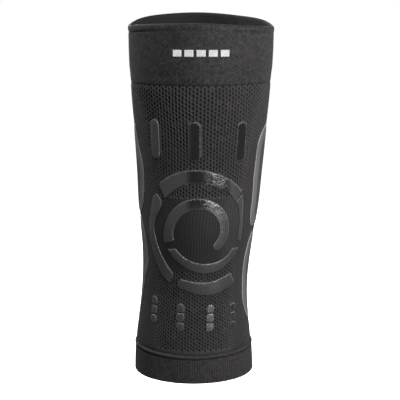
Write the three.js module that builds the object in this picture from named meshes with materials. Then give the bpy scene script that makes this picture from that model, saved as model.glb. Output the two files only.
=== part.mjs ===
// A knitted knee sleeve in the shape of the leg that wears it, in millimetres.
// The origin is on the leg's axis at the height of the kneecap. +Z runs up the thigh, -Y is the front
// of the knee, and +X is on the right of someone who looks at the front.
// The sleeve is a knitted tube between a deep upper cuff and a short lower cuff. Rubbery strips are
// printed on it: a broken spiral round the kneecap, three bars above, four broken bars below, and two
// leaves down each side.
import * as THREE from "three";

// Lengths along the leg
const THIGH_LENGTH = 173; // kneecap to upper rim, at the sides
const CALF_LENGTH = 138; // kneecap to lower rim
const UPPER_CUFF_HEIGHT = 47.5;
const LOWER_CUFF_HEIGHT = 25;

// Widths and depths of the leg inside the knit, over the knit's outer face
const THIGH_WIDTH = 126.6;
const THIGH_DEPTH = 136;
const KNEE_WIDTH = 104;
const KNEE_DEPTH = 108;
const SHIN_WIDTH = 94.6;
const SHIN_DEPTH = 104;
const CALF_WIDTH = 107;
const CALF_DEPTH = 109;
const LEAN = 7; // sideways drift of the calf from the thigh

// Kneecap dome, and the shallow fold of cloth below the spiral
const KNEECAP_RISE = 5;
const KNEECAP_SPREAD_ACROSS = 24;
const KNEECAP_SPREAD_ALONG = 26;
const FOLD_DEPTH = 0.9;
const FOLD_SPREAD = 4;

// How far each rim and seam departs from level
const UPPER_RIM_FRONT_RISE = 3.4;
const UPPER_RIM_BACK_RISE = 11.5;
const UPPER_RIM_TILT = 1.2;
const LOWER_SEAM_FRONT_DROP = 1.7;

// Cloth
const KNIT_WALL = 1.8;
const CUFF_WALL = 2.6;
const CUFF_PROUD = 0.6; // the doubled cuffs stand this far outside the single knit
const HEM_HEIGHT = 6; // turned hem at the upper rim
const HEM_SWELL = 0.5;
const WELT_HEIGHT = 2.8; // beaded edge at the top of the lower cuff
const WELT_SWELL = 0.6;
const SEAM_GAP = 0.3;

// Printed strips
const PRINT_GAP = 0.42; // between the knit's outer face and the underside of a print
const PRINT_THICKNESS = 0.9;
const PANEL_THICKNESS = 0.9;
const RING_RADIUS = 53; // outer edge of the spiral's outer turn
const SWIRL_RADIUS = 29; // outer edge of the spiral's inner turn
const BAR_WIDTH = 10.3;
const BAR_LENGTH = 34;
const BAR_END = 4; // height of a bar's rounded end
const BAR_SPACING = 40;
const BAR_CLEARANCE = 7; // from the spiral up to the bars
const KNIT_TAPER = 0.0015; // how fast the columns of stitches spread above the knee, by height
const DASH_WIDTH = 6.6;
const DASH_HEIGHT = 7.1;
const DASH_GAP = 1.4;
const DASH_END = 2.8; // height of a dash's rounded end
const DASH_SPACING = 26.5;
const DASH_CLEARANCE = 5; // from the spiral down to the broken bars
const PANEL_CLEARANCE = 4; // from the spiral out to the side leaves
const PANEL_WIDTH = 34;
const PANEL_SPLIT = 2; // height of the notch between the two leaves of a side
const PANEL_NOTCH = 3; // gap between them there
const PANEL_SEAM_CLEARANCE_ABOVE = 37;
const PANEL_SEAM_CLEARANCE_BELOW = 24;

// Fineness of the facets
const SPANS_ROUND = 60;
const SHIN_ROWS = 6;
const KNEE_ROWS = 14;
const THIGH_ROWS = 5;
const KNIT_ROWS_INSIDE = 13;
const CUFF_ROWS = 3;
const STRIP_STEP = 5; // length of a facet along the spiral

const UPPER_SEAM = THIGH_LENGTH - UPPER_CUFF_HEIGHT;
const LOWER_SEAM = LOWER_CUFF_HEIGHT - CALF_LENGTH;
const SPIRAL_FOOT = -1.09 * RING_RADIUS;
const FOLD_HEIGHT = SPIRAL_FOOT - FOLD_SPREAD;

// Cross-sections from the bottom up, as shares of a length along the leg and of a width and a depth.
// Each is two half ellipses that meet at the sides.
// front: the share of the depth that lies in front of the axis. lean: the sideways place of the middle.
const CALF = { along: CALF_LENGTH, across: CALF_WIDTH, through: CALF_DEPTH };
const SHIN = { along: CALF_LENGTH, across: SHIN_WIDTH, through: SHIN_DEPTH };
const UNDER_KNEE = { along: CALF_LENGTH, across: KNEE_WIDTH, through: KNEE_DEPTH };
const OVER_KNEE = { along: THIGH_LENGTH, across: KNEE_WIDTH, through: KNEE_DEPTH };
const THIGH = { along: THIGH_LENGTH, across: THIGH_WIDTH, through: THIGH_DEPTH };
const SECTIONS = [
  { of: CALF, height: -1.096, width: 1.012, depth: 0.995, front: 0.463, lean: -0.77 },
  { of: CALF, height: -0.913, width: 0.999, depth: 1.0, front: 0.463, lean: -0.83 },
  { of: CALF, height: -0.73, width: 0.965, depth: 0.99, front: 0.465, lean: -0.86 },
  { of: SHIN, height: -0.548, width: 1.02, depth: 1.012, front: 0.471, lean: -0.79 },
  { of: SHIN, height: -0.365, width: 1.0, depth: 0.995, front: 0.483, lean: -0.63 },
  { of: UNDER_KNEE, height: -0.183, width: 0.936, depth: 0.972, front: 0.495, lean: -0.41 },
  { of: OVER_KNEE, height: 0, width: 0.998, depth: 1.0, front: 0.5, lean: -0.26 },
  { of: OVER_KNEE, height: 0.115, width: 1.035, depth: 1.023, front: 0.498, lean: -0.17 },
  { of: THIGH, height: 0.26, width: 0.876, depth: 0.846, front: 0.496, lean: -0.06 },
  { of: THIGH, height: 0.46, width: 0.92, depth: 0.91, front: 0.496, lean: 0.03 },
  { of: THIGH, height: 0.66, width: 0.969, depth: 0.971, front: 0.492, lean: 0.07 },
  { of: THIGH, height: 0.86, width: 0.995, depth: 0.996, front: 0.487, lean: 0.13 },
  { of: THIGH, height: 1.1, width: 1.006, depth: 1.0, front: 0.485, lean: 0.14 },
].map(({ of, height, width, depth, front, lean }) => ({
  height: height * of.along,
  width: width * of.across,
  depth: depth * of.through,
  front,
  lean: lean * LEAN,
}));

// The spiral's strips, as two edges in polar form round the kneecap: angles in degrees from +X towards
// +Z, and radii as shares of the turn's outer radius.
const OUTER_TOP = [
  { outerAt: 134, outer: 1.028, innerAt: 138.5, inner: 0.785 },
  { outerAt: 122, outer: 1.026, innerAt: 124, inner: 0.789 },
  { outerAt: 105, outer: 1.022, innerAt: 106, inner: 0.803 },
  { outerAt: 88, outer: 1.006, innerAt: 88, inner: 0.79 },
  { outerAt: 70, outer: 0.982, innerAt: 70, inner: 0.778 },
  { outerAt: 53, outer: 0.984, innerAt: 52, inner: 0.797 },
  { outerAt: 38.5, outer: 0.994, innerAt: 36.5, inner: 0.798 },
];
const OUTER_LEFT = [
  { outerAt: 144.2, outer: 0.985, innerAt: 143.6, inner: 0.97 },
  { outerAt: 149, outer: 0.995, innerAt: 143, inner: 0.89 },
  { outerAt: 156, outer: 0.978, innerAt: 147, inner: 0.794 },
  { outerAt: 163, outer: 0.967, innerAt: 155, inner: 0.772 },
  { outerAt: 172, outer: 0.977, innerAt: 165.5, inner: 0.811 },
  { outerAt: 182, outer: 0.989, innerAt: 177, inner: 0.845 },
  { outerAt: 191, outer: 0.983, innerAt: 188, inner: 0.829 },
  { outerAt: 201, outer: 0.959, innerAt: 200, inner: 0.8 },
  { outerAt: 211, outer: 0.949, innerAt: 211, inner: 0.784 },
  { outerAt: 221, outer: 0.957, innerAt: 222, inner: 0.783 },
  { outerAt: 232, outer: 0.984, innerAt: 233, inner: 0.796 },
  { outerAt: 243.5, outer: 1.015, innerAt: 244.5, inner: 0.84 },
];
const OUTER_RIGHT = [
  { outerAt: 36.2, outer: 0.98, innerAt: 34.2, inner: 0.804 },
  { outerAt: 27, outer: 0.928, innerAt: 26, inner: 0.806 },
  { outerAt: 17, outer: 0.873, innerAt: 16, inner: 0.796 },
  { outerAt: 7, outer: 0.852, innerAt: 6, inner: 0.774 },
  { outerAt: -3, outer: 0.847, innerAt: -4, inner: 0.763 },
  { outerAt: -15.5, outer: 0.86, innerAt: -15, inner: 0.762 },
];
const OUTER_BOTTOM = [
  { outerAt: 252, outer: 0.991, innerAt: 252.5, inner: 0.853 },
  { outerAt: 260, outer: 1.016, innerAt: 260.5, inner: 0.855 },
  { outerAt: 268, outer: 1.053, innerAt: 269.5, inner: 0.867 },
  { outerAt: 276, outer: 1.09, innerAt: 279.5, inner: 0.889 },
  { outerAt: 284, outer: 1.126, innerAt: 290, inner: 0.921 },
  { outerAt: 292.5, outer: 1.15, innerAt: 300, inner: 0.941 },
  { outerAt: 308, outer: 1.18, innerAt: 310, inner: 0.985 },
];
const SWIRL = [
  { outerAt: 201, outer: 1.168, innerAt: 203.5, inner: 0.78 },
  { outerAt: 186, outer: 1.112, innerAt: 188, inner: 0.775 },
  { outerAt: 170, outer: 1.067, innerAt: 171, inner: 0.735 },
  { outerAt: 152, outer: 1.03, innerAt: 153, inner: 0.702 },
  { outerAt: 130, outer: 1.008, innerAt: 130, inner: 0.686 },
  { outerAt: 108, outer: 1.0, innerAt: 108, inner: 0.682 },
  { outerAt: 84, outer: 0.988, innerAt: 84, inner: 0.679 },
  { outerAt: 58, outer: 0.988, innerAt: 58, inner: 0.681 },
  { outerAt: 32, outer: 0.999, innerAt: 32, inner: 0.684 },
  { outerAt: 8, outer: 0.995, innerAt: 9, inner: 0.679 },
  { outerAt: -12, outer: 0.969, innerAt: -12, inner: 0.666 },
  { outerAt: -30, outer: 0.924, innerAt: -32, inner: 0.632 },
  { outerAt: -45, outer: 0.85, innerAt: -47, inner: 0.63 },
];
const CRESCENT = [
  { outerAt: 212.5, outer: 1.114, innerAt: 219.7, inner: 0.855 },
  { outerAt: 225, outer: 1.103, innerAt: 233, inner: 0.864 },
  { outerAt: 240, outer: 1.11, innerAt: 247, inner: 0.888 },
  { outerAt: 253.5, outer: 1.155, innerAt: 261, inner: 0.928 },
  { outerAt: 265, outer: 1.214, innerAt: 274, inner: 0.983 },
  { outerAt: 276, outer: 1.288, innerAt: 286, inner: 1.043 },
  { outerAt: 288, outer: 1.354, innerAt: 297.5, inner: 1.114 },
  { outerAt: 303, outer: 1.421, innerAt: 310, inner: 1.196 },
  { outerAt: 318, outer: 1.468, innerAt: 322, inner: 1.264 },
  { outerAt: 337, outer: 1.572, innerAt: 333.5, inner: 1.318 },
];

// The side leaves from the notch outwards. along: share of the leaf's length. front and back: shares of
// the panel's width behind the line that runs just outside the spiral.
const RIGHT_UPPER_LEAF = [
  { along: 0, front: 0.1, back: 0.52 },
  { along: 0.05, front: 0.04, back: 0.68 },
  { along: 0.15, front: 0.015, back: 0.85 },
  { along: 0.33, front: 0.02, back: 0.96 },
  { along: 0.5, front: 0.005, back: 1.0 },
  { along: 0.68, front: 0.06, back: 1.0 },
  { along: 0.83, front: 0.14, back: 0.95 },
  { along: 0.92, front: 0.31, back: 0.87 },
  { along: 1, front: 0.66, back: 0.72 },
];
const LEFT_UPPER_LEAF = [
  { along: 0, front: 0.38, back: 0.66 },
  { along: 0.06, front: 0.24, back: 0.8 },
  { along: 0.16, front: 0.15, back: 0.9 },
  { along: 0.33, front: 0.09, back: 0.98 },
  { along: 0.5, front: 0.08, back: 1.0 },
  { along: 0.62, front: 0.19, back: 1.0 },
  { along: 0.74, front: 0.36, back: 0.98 },
  { along: 0.87, front: 0.52, back: 0.92 },
  { along: 1, front: 0.69, back: 0.74 },
];
const RIGHT_LOWER_LEAF = [
  { along: 0, front: 0.27, back: 0.37 },
  { along: 0.08, front: 0.11, back: 0.52 },
  { along: 0.2, front: -0.03, back: 0.62 },
  { along: 0.32, front: -0.11, back: 0.67 },
  { along: 0.44, front: -0.145, back: 0.68 },
  { along: 0.57, front: -0.13, back: 0.68 },
  { along: 0.7, front: -0.11, back: 0.66 },
  { along: 0.81, front: -0.03, back: 0.61 },
  { along: 0.92, front: 0.13, back: 0.52 },
  { along: 1, front: 0.29, back: 0.38 },
];
const LEFT_LOWER_LEAF = [
  { along: 0, front: 0.4, back: 0.52 },
  { along: 0.09, front: 0.25, back: 0.62 },
  { along: 0.2, front: 0.1, back: 0.66 },
  { along: 0.31, front: -0.02, back: 0.68 },
  { along: 0.42, front: -0.08, back: 0.68 },
  { along: 0.5, front: -0.06, back: 0.67 },
  { along: 0.57, front: 0.06, back: 0.65 },
  { along: 0.66, front: 0.13, back: 0.63 },
  { along: 0.77, front: 0.22, back: 0.6 },
  { along: 0.88, front: 0.33, back: 0.53 },
  { along: 1, front: 0.42, back: 0.47 },
];

const FRONT = 0; // angle round the leg, in radians; it grows towards +X

// Smooth curve through the rows of a table, read at a place along its first named column.
function readTable(rows, column, place) {
  let i = 0;
  while (i < rows.length - 2 && place > rows[i + 1][column]) i += 1;
  const before = rows[Math.max(i - 1, 0)];
  const low = rows[i];
  const high = rows[i + 1];
  const after = rows[Math.min(i + 2, rows.length - 1)];
  const step = high[column] - low[column];
  const t = (place - low[column]) / step;
  const read = {};
  for (const name of Object.keys(low)) {
    const slopeLow = ((high[name] - before[name]) / (high[column] - before[column])) * step;
    const slopeHigh = ((after[name] - low[name]) / (after[column] - low[column])) * step;
    read[name] =
      (2 * t ** 3 - 3 * t ** 2 + 1) * low[name] +
      (t ** 3 - 2 * t ** 2 + t) * slopeLow +
      (3 * t ** 2 - 2 * t ** 3) * high[name] +
      (t ** 3 - t ** 2) * slopeHigh;
  }
  return read;
}

const bell = (distance, spread) => Math.exp(-0.5 * (distance / spread) ** 2);

// A point of the single knit's outer face.
function legPoint(angle, height) {
  const section = readTable(SECTIONS, "height", height);
  const across = (section.width / 2) * Math.sin(angle);
  const cosine = Math.cos(angle);
  if (cosine < 0) {
    return new THREE.Vector3(section.lean + across, -section.depth * (1 - section.front) * cosine, height);
  }
  const kneecap = KNEECAP_RISE * bell(across, KNEECAP_SPREAD_ACROSS) * bell(height, KNEECAP_SPREAD_ALONG);
  const fold = FOLD_DEPTH * bell(height - FOLD_HEIGHT, FOLD_SPREAD) * cosine ** 2;
  const forward = section.depth * section.front * cosine + kneecap - fold;
  return new THREE.Vector3(section.lean + across, -forward, height);
}

// The same point moved outwards along the face's normal.
function skinPoint(angle, height, outwards) {
  const point = legPoint(angle, height);
  if (outwards === 0) return point;
  const turn = 1e-3;
  const rise = 0.1;
  const round = legPoint(angle + turn, height).sub(legPoint(angle - turn, height));
  const up = legPoint(angle, height + rise).sub(legPoint(angle, height - rise));
  return point.addScaledVector(round.cross(up).normalize(), outwards);
}

// The angle at which the knit measures a given length round the leg from the front centre line.
function angleAtLength(length, height) {
  const turn = Math.sign(length) * 0.02;
  let angle = FRONT;
  let left = Math.abs(length);
  let last = legPoint(angle, height);
  while (left > 0) {
    const next = legPoint(angle + turn, height);
    const step = next.distanceTo(last);
    if (step >= left) return angle + (turn * left) / step;
    left -= step;
    angle += turn;
    last = next;
  }
  return angle;
}

// A point over the knit from its place in the flat: length round from the front centre line, and height.
function wrappedPoint(place, outwards) {
  return skinPoint(angleAtLength(place.x, place.y), place.y, outwards);
}

// Rims and seams: each gives its height at an angle round the leg.
const frontShare = (angle) => Math.max(Math.cos(angle), 0) ** 2;
const backShare = (angle) => Math.max(-Math.cos(angle), 0);
const upperRim = (angle) =>
  THIGH_LENGTH +
  UPPER_RIM_FRONT_RISE * frontShare(angle) +
  UPPER_RIM_BACK_RISE * backShare(angle) -
  UPPER_RIM_TILT * Math.sin(angle);
const upperSeam = () => UPPER_SEAM;
const lowerSeam = (angle) => LOWER_SEAM - LOWER_SEAM_FRONT_DROP * frontShare(angle);
const lowerRim = () => -CALF_LENGTH;

const between = (low, high, share) => (angle) => low(angle) + share * (high(angle) - low(angle));
const above = (level, distance) => (angle) => level(angle) + distance;

function solidGeometry(points, triangles) {
  const geometry = new THREE.BufferGeometry();
  geometry.setAttribute(
    "position",
    new THREE.Float32BufferAttribute(points.flatMap((p) => [p.x, p.y, p.z]), 3),
  );
  geometry.setIndex(triangles);
  geometry.computeVertexNormals();
  return geometry;
}

// A tube of cloth: a closed outline of rows, swept round the leg. Each row has a level and an offset
// from the single knit's outer face. The rows climb the outside and come down the inside.
function clothTube(rows) {
  const points = [];
  const triangles = [];
  for (let i = 0; i < SPANS_ROUND; i += 1) {
    const angle = (2 * Math.PI * i) / SPANS_ROUND;
    for (const row of rows) points.push(skinPoint(angle, row.level(angle), row.offset));
  }
  const at = (i, j) => (i % SPANS_ROUND) * rows.length + (j % rows.length);
  for (let i = 0; i < SPANS_ROUND; i += 1) {
    for (let j = 0; j < rows.length; j += 1) {
      triangles.push(at(i, j), at(i + 1, j), at(i + 1, j + 1));
      triangles.push(at(i, j), at(i + 1, j + 1), at(i, j + 1));
    }
  }
  return solidGeometry(points, triangles);
}

function evenRows(low, high, count, offset) {
  return Array.from({ length: count + 1 }, (_, k) => ({ level: between(low, high, k / count), offset }));
}

function sleeveBody() {
  const low = above(lowerSeam, SEAM_GAP / 2);
  const high = above(upperSeam, -SEAM_GAP / 2);
  const fold = () => FOLD_HEIGHT;
  const foldFoot = above(fold, -2 * FOLD_SPREAD);
  const foldHead = above(fold, 2 * FOLD_SPREAD);
  const kneeTop = () => UPPER_SEAM / 2;
  return clothTube([
    ...evenRows(low, foldFoot, SHIN_ROWS, 0),
    ...evenRows(foldFoot, foldHead, 4, 0).slice(1, -1),
    ...evenRows(foldHead, kneeTop, KNEE_ROWS, 0),
    ...evenRows(kneeTop, high, THIGH_ROWS, 0).slice(1),
    ...evenRows(high, low, KNIT_ROWS_INSIDE, -KNIT_WALL),
  ]);
}

function upperCuff() {
  const low = above(upperSeam, SEAM_GAP / 2);
  const hemFoot = above(upperRim, -HEM_HEIGHT);
  const crease = above(upperRim, -HEM_HEIGHT - HEM_SWELL);
  const inside = CUFF_PROUD - CUFF_WALL;
  return clothTube([
    ...evenRows(low, crease, CUFF_ROWS, CUFF_PROUD),
    { level: hemFoot, offset: CUFF_PROUD + HEM_SWELL },
    { level: above(upperRim, -HEM_SWELL), offset: CUFF_PROUD + HEM_SWELL },
    { level: upperRim, offset: CUFF_PROUD - CUFF_WALL / 3 },
    { level: above(upperRim, -HEM_SWELL), offset: inside },
    ...evenRows(crease, low, CUFF_ROWS, inside),
  ]);
}

function lowerCuff() {
  const high = above(lowerSeam, -SEAM_GAP / 2);
  const weltFoot = above(lowerSeam, -WELT_HEIGHT);
  const groove = above(lowerSeam, -WELT_HEIGHT - WELT_SWELL);
  const rimRound = CUFF_WALL / 3;
  const inside = CUFF_PROUD - CUFF_WALL;
  return clothTube([
    { level: lowerRim, offset: CUFF_PROUD - rimRound },
    ...evenRows(above(lowerRim, rimRound), groove, CUFF_ROWS, CUFF_PROUD),
    { level: weltFoot, offset: CUFF_PROUD + WELT_SWELL },
    { level: above(high, -WELT_SWELL), offset: CUFF_PROUD + WELT_SWELL },
    { level: high, offset: CUFF_PROUD / 2 },
    ...evenRows(high, above(lowerRim, rimRound), CUFF_ROWS, inside),
  ]);
}

// A printed strip: pairs of edge points in the flat, joined across in a few spans, given a thickness
// and wrapped over the knit. The first edge is on the left of someone who walks along the strip.
function printedStrip(pairs, spansAcross, thickness) {
  const points = [];
  const triangles = [];
  const wide = spansAcross + 1;
  for (const [left, right] of pairs) {
    for (let j = 0; j < wide; j += 1) {
      const place = left.clone().lerp(right, j / spansAcross);
      points.push(wrappedPoint(place, PRINT_GAP), wrappedPoint(place, PRINT_GAP + thickness));
    }
  }
  const under = (i, j) => 2 * (i * wide + j);
  const over = (i, j) => under(i, j) + 1;
  const face = (a, b, c, d) => triangles.push(a, b, c, a, c, d);
  const end = pairs.length - 1;
  for (let i = 0; i < end; i += 1) {
    for (let j = 0; j < spansAcross; j += 1) {
      face(over(i, j), over(i, j + 1), over(i + 1, j + 1), over(i + 1, j));
      face(under(i, j), under(i + 1, j), under(i + 1, j + 1), under(i, j + 1));
    }
    face(under(i, 0), over(i, 0), over(i + 1, 0), under(i + 1, 0));
    face(under(i, spansAcross), under(i + 1, spansAcross), over(i + 1, spansAcross), over(i, spansAcross));
  }
  for (let j = 0; j < spansAcross; j += 1) {
    face(under(0, j), under(0, j + 1), over(0, j + 1), over(0, j));
    face(under(end, j), over(end, j), over(end, j + 1), under(end, j + 1));
  }
  return solidGeometry(points, triangles);
}

const polar = (degrees, radius) =>
  new THREE.Vector2(radius, 0).rotateAround(new THREE.Vector2(), THREE.MathUtils.degToRad(degrees));

// One strip of the spiral, read from its table in even steps.
function spiralStrip(rows, radius) {
  const numbered = rows.map((row, order) => ({ order, ...row }));
  const sweep = THREE.MathUtils.degToRad(Math.abs(rows.at(-1).outerAt - rows[0].outerAt));
  const steps = Math.max(6, Math.round((sweep * radius) / STRIP_STEP));
  const pairs = [];
  for (let k = 0; k <= steps; k += 1) {
    const row = readTable(numbered, "order", (k / steps) * (rows.length - 1));
    const outer = polar(row.outerAt, radius * row.outer);
    const inner = polar(row.innerAt, radius * row.inner);
    pairs.push(rows[0].outerAt > rows.at(-1).outerAt ? [outer, inner] : [inner, outer]);
  }
  return printedStrip(pairs, 2, PRINT_THICKNESS);
}

// An upright strip from its foot to its top, which may be rounded at either end.
// ends: the height of a rounded end, and which ends are rounded. taper: how fast it leans out with height.
function uprightStrip(centre, foot, width, height, ends, taper) {
  const half = width / 2;
  const top = foot + height;
  const cornerShares = [0.96, 0.7, 0.35];
  const flatShare = 0.85;
  const corner = half * (1 - flatShare);
  const roundedHalf = (share) => half * Math.sqrt(1 - share ** 2);
  const roundedEnd = cornerShares.map((share) => [ends.height * (1 - share), roundedHalf(share)]);
  const flatEnd = [
    [0, half * flatShare],
    [corner, half],
  ];
  const atFoot = ends.foot ? roundedEnd : flatEnd;
  const atTop = ends.top ? roundedEnd : flatEnd;
  const plainFoot = foot + (ends.foot ? ends.height : corner);
  const plainTop = top - (ends.top ? ends.height : corner);
  const spans = Math.max(1, Math.round((plainTop - plainFoot) / width));
  const stations = atFoot.map(([drop, reach]) => [foot + drop, reach]);
  for (let k = ends.foot ? 0 : 1; k <= spans - (ends.top ? 0 : 1); k += 1) {
    stations.push([plainFoot + ((plainTop - plainFoot) * k) / spans, half]);
  }
  stations.push(...[...atTop].reverse().map(([drop, reach]) => [top - drop, reach]));
  const pairs = stations.map(([level, reach]) => {
    const middle = centre * (1 + taper * (level - foot));
    return [new THREE.Vector2(middle - reach, level), new THREE.Vector2(middle + reach, level)];
  });
  return printedStrip(pairs, 2, PRINT_THICKNESS);
}

// A side leaf from the notch to its tip. side is 1 for +X and -1 for -X.
function sideLeaf(rows, side, notch, tip) {
  const steps = 14;
  const line = RING_RADIUS + PANEL_CLEARANCE;
  const pairs = [];
  for (let k = 0; k <= steps; k += 1) {
    const row = readTable(rows, "along", k / steps);
    const level = notch + (tip - notch) * row.along;
    const front = new THREE.Vector2(side * (line + PANEL_WIDTH * row.front), level);
    const back = new THREE.Vector2(side * (line + PANEL_WIDTH * row.back), level);
    pairs.push(side * (tip - notch) > 0 ? [front, back] : [back, front]);
  }
  return printedStrip(pairs, 4, PANEL_THICKNESS);
}

const knit = new THREE.MeshStandardMaterial({ color: 0x2d2a2a, roughness: 0.92, metalness: 0 });
const cuffKnit = new THREE.MeshStandardMaterial({ color: 0x302c2c, roughness: 0.9, metalness: 0 });
const print = new THREE.MeshStandardMaterial({ color: 0x3a3a3a, roughness: 0.4, metalness: 0 });
const sidePrint = new THREE.MeshStandardMaterial({ color: 0x5c5955, roughness: 0.45, metalness: 0 });

const sleeve = new THREE.Group();
function add(name, geometry, material) {
  const mesh = new THREE.Mesh(geometry, material);
  mesh.name = name;
  sleeve.add(mesh);
}

add("sleeve_body", sleeveBody(), knit);
add("upper_cuff", upperCuff(), cuffKnit);
add("lower_cuff", lowerCuff(), cuffKnit);

add("outer_arc_top", spiralStrip(OUTER_TOP, RING_RADIUS), print);
add("outer_arc_left", spiralStrip(OUTER_LEFT, RING_RADIUS), print);
add("outer_arc_right", spiralStrip(OUTER_RIGHT, RING_RADIUS), print);
add("outer_arc_bottom", spiralStrip(OUTER_BOTTOM, RING_RADIUS), print);
add("inner_swirl", spiralStrip(SWIRL, SWIRL_RADIUS), print);
add("inner_crescent", spiralStrip(CRESCENT, SWIRL_RADIUS), print);

// The three bars above the spiral, from left to right. Each row stands a little lower than the last.
const BARS = [
  { name: "thigh_bar_left", across: -1.03, rise: 0.06, width: 0.92 },
  { name: "thigh_bar_middle", across: -0.125, rise: 0.03, width: 1.04 },
  { name: "thigh_bar_right", across: 0.92, rise: 0, width: 1 },
];
for (const bar of BARS) {
  const foot = RING_RADIUS + BAR_CLEARANCE + bar.rise * BAR_LENGTH;
  const ends = { height: BAR_END, foot: true, top: true };
  const centre = bar.across * BAR_SPACING;
  add(bar.name, uprightStrip(centre, foot, bar.width * BAR_WIDTH, BAR_LENGTH, ends, KNIT_TAPER), print);
}

// The four broken bars below it, each of three dashes. drop: how far its top is down, in dash heights.
const DASH_COLUMNS = [
  { name: "shin_dash_1", across: -1.49, drop: 0.03 },
  { name: "shin_dash_2", across: -0.445, drop: 0.5 },
  { name: "shin_dash_3", across: 0.55, drop: 0.65 },
  { name: "shin_dash_4", across: 1.45, drop: 0.85 },
];
const DASH_ENDS = {
  top: { height: DASH_END, foot: false, top: true },
  middle: { height: DASH_END, foot: false, top: false },
  foot: { height: DASH_END, foot: true, top: false },
};
for (const column of DASH_COLUMNS) {
  const top = SPIRAL_FOOT - DASH_CLEARANCE - column.drop * DASH_HEIGHT;
  Object.entries(DASH_ENDS).forEach(([part, ends], k) => {
    const foot = top - DASH_HEIGHT - k * (DASH_HEIGHT + DASH_GAP);
    const centre = column.across * DASH_SPACING;
    add(`${column.name}_${part}`, uprightStrip(centre, foot, DASH_WIDTH, DASH_HEIGHT, ends, 0), print);
  });
}

// The leaves down the sides. notch: where each starts, in notch heights over the split between the two.
const RIGHT = 1;
const LEFT = -1;
const LEAF_TOP = UPPER_SEAM - PANEL_SEAM_CLEARANCE_ABOVE;
const LEAF_FOOT = LOWER_SEAM + PANEL_SEAM_CLEARANCE_BELOW;
const LEAVES = [
  { name: "side_leaf_right_upper", rows: RIGHT_UPPER_LEAF, side: RIGHT, notch: -1, tip: LEAF_TOP },
  { name: "side_leaf_right_lower", rows: RIGHT_LOWER_LEAF, side: RIGHT, notch: -3, tip: LEAF_FOOT },
  { name: "side_leaf_left_upper", rows: LEFT_UPPER_LEAF, side: LEFT, notch: 2.7, tip: LEAF_TOP },
  { name: "side_leaf_left_lower", rows: LEFT_LOWER_LEAF, side: LEFT, notch: 1.4, tip: LEAF_FOOT },
];
for (const leaf of LEAVES) {
  const notch = PANEL_SPLIT + leaf.notch * PANEL_NOTCH;
  add(leaf.name, sideLeaf(leaf.rows, leaf.side, notch, leaf.tip), sidePrint);
}

export default sleeve;
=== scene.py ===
# A knitted knee sleeve in the form of a worn leg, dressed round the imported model. Lengths are in metres.
import math

import bmesh
import bpy
import numpy as np
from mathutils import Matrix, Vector, geometry
from mathutils.bvhtree import BVHTree


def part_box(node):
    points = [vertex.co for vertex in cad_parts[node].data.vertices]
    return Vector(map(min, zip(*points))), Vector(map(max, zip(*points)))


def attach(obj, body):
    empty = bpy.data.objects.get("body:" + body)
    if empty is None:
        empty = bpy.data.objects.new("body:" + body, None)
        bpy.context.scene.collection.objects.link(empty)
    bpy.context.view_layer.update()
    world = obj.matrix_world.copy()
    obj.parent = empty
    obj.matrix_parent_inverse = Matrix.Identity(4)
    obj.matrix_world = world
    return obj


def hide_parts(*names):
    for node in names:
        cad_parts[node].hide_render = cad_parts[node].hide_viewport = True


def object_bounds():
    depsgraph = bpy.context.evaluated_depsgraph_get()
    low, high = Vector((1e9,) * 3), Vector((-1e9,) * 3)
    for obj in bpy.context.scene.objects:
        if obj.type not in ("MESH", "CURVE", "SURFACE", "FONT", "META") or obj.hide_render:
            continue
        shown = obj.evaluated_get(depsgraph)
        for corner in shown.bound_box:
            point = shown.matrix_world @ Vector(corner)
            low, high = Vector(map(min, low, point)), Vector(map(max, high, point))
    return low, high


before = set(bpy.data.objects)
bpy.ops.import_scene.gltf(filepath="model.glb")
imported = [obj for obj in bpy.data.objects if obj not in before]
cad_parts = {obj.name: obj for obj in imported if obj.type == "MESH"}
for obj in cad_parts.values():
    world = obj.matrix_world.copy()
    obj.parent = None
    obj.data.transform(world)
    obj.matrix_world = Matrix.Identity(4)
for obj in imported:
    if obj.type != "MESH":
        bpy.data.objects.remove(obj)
cad_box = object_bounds()

MM = 0.001

# The knit: columns of stitches round the sleeve, and rows up it between the two cuffs
COLUMNS = 130
ROWS = 70
ROW_STRETCH = 0.065  # how much taller the top rows are than the mean, as a share
FRONT_COLUMNS = 32  # the front piece reaches this many columns to each side of the front line

# Places on the sleeve, as lengths round it from the front line and heights above the kneecap's middle
KNEECAP_PATCH_RADIUS = 43 * MM
KNEECAP_PATCH_TOP = 29 * MM
KNEECAP_PATCH_FOOT = -37 * MM

# Thicknesses. Those of the prints are heights above the knit's outer face.
KNIT_WALL = 1.7 * MM
CUFF_WALL = 2.4 * MM
PRINT_FOOT = 0.05 * MM
PRINT_TOP = 0.62 * MM
PRINT_EDGE = 0.26 * MM
LEAF_TOP = 0.7 * MM

# How far the cuffs' soft edges stand from those of the model
WELT_CLIMB = 1.3 * MM
RIM_LIFT = 1.3 * MM
FOOT_SAG = 1.1 * MM

SAME_PLACE = 0.001 * MM  # corners closer than this are one


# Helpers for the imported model
def welded(node):
    """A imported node's solid, with the corners that its faces share made one."""
    mesh = bmesh.new()
    mesh.from_mesh(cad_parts[node].data)
    bmesh.ops.remove_doubles(mesh, verts=mesh.verts, dist=SAME_PLACE)
    return mesh


def smooth_step(low, high, value):
    """A soft step from 0 to 1 between two values, which may also fall."""
    share = np.clip((value - low) / (high - low), 0, 1)
    return share * share * (3 - 2 * share)


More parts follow.
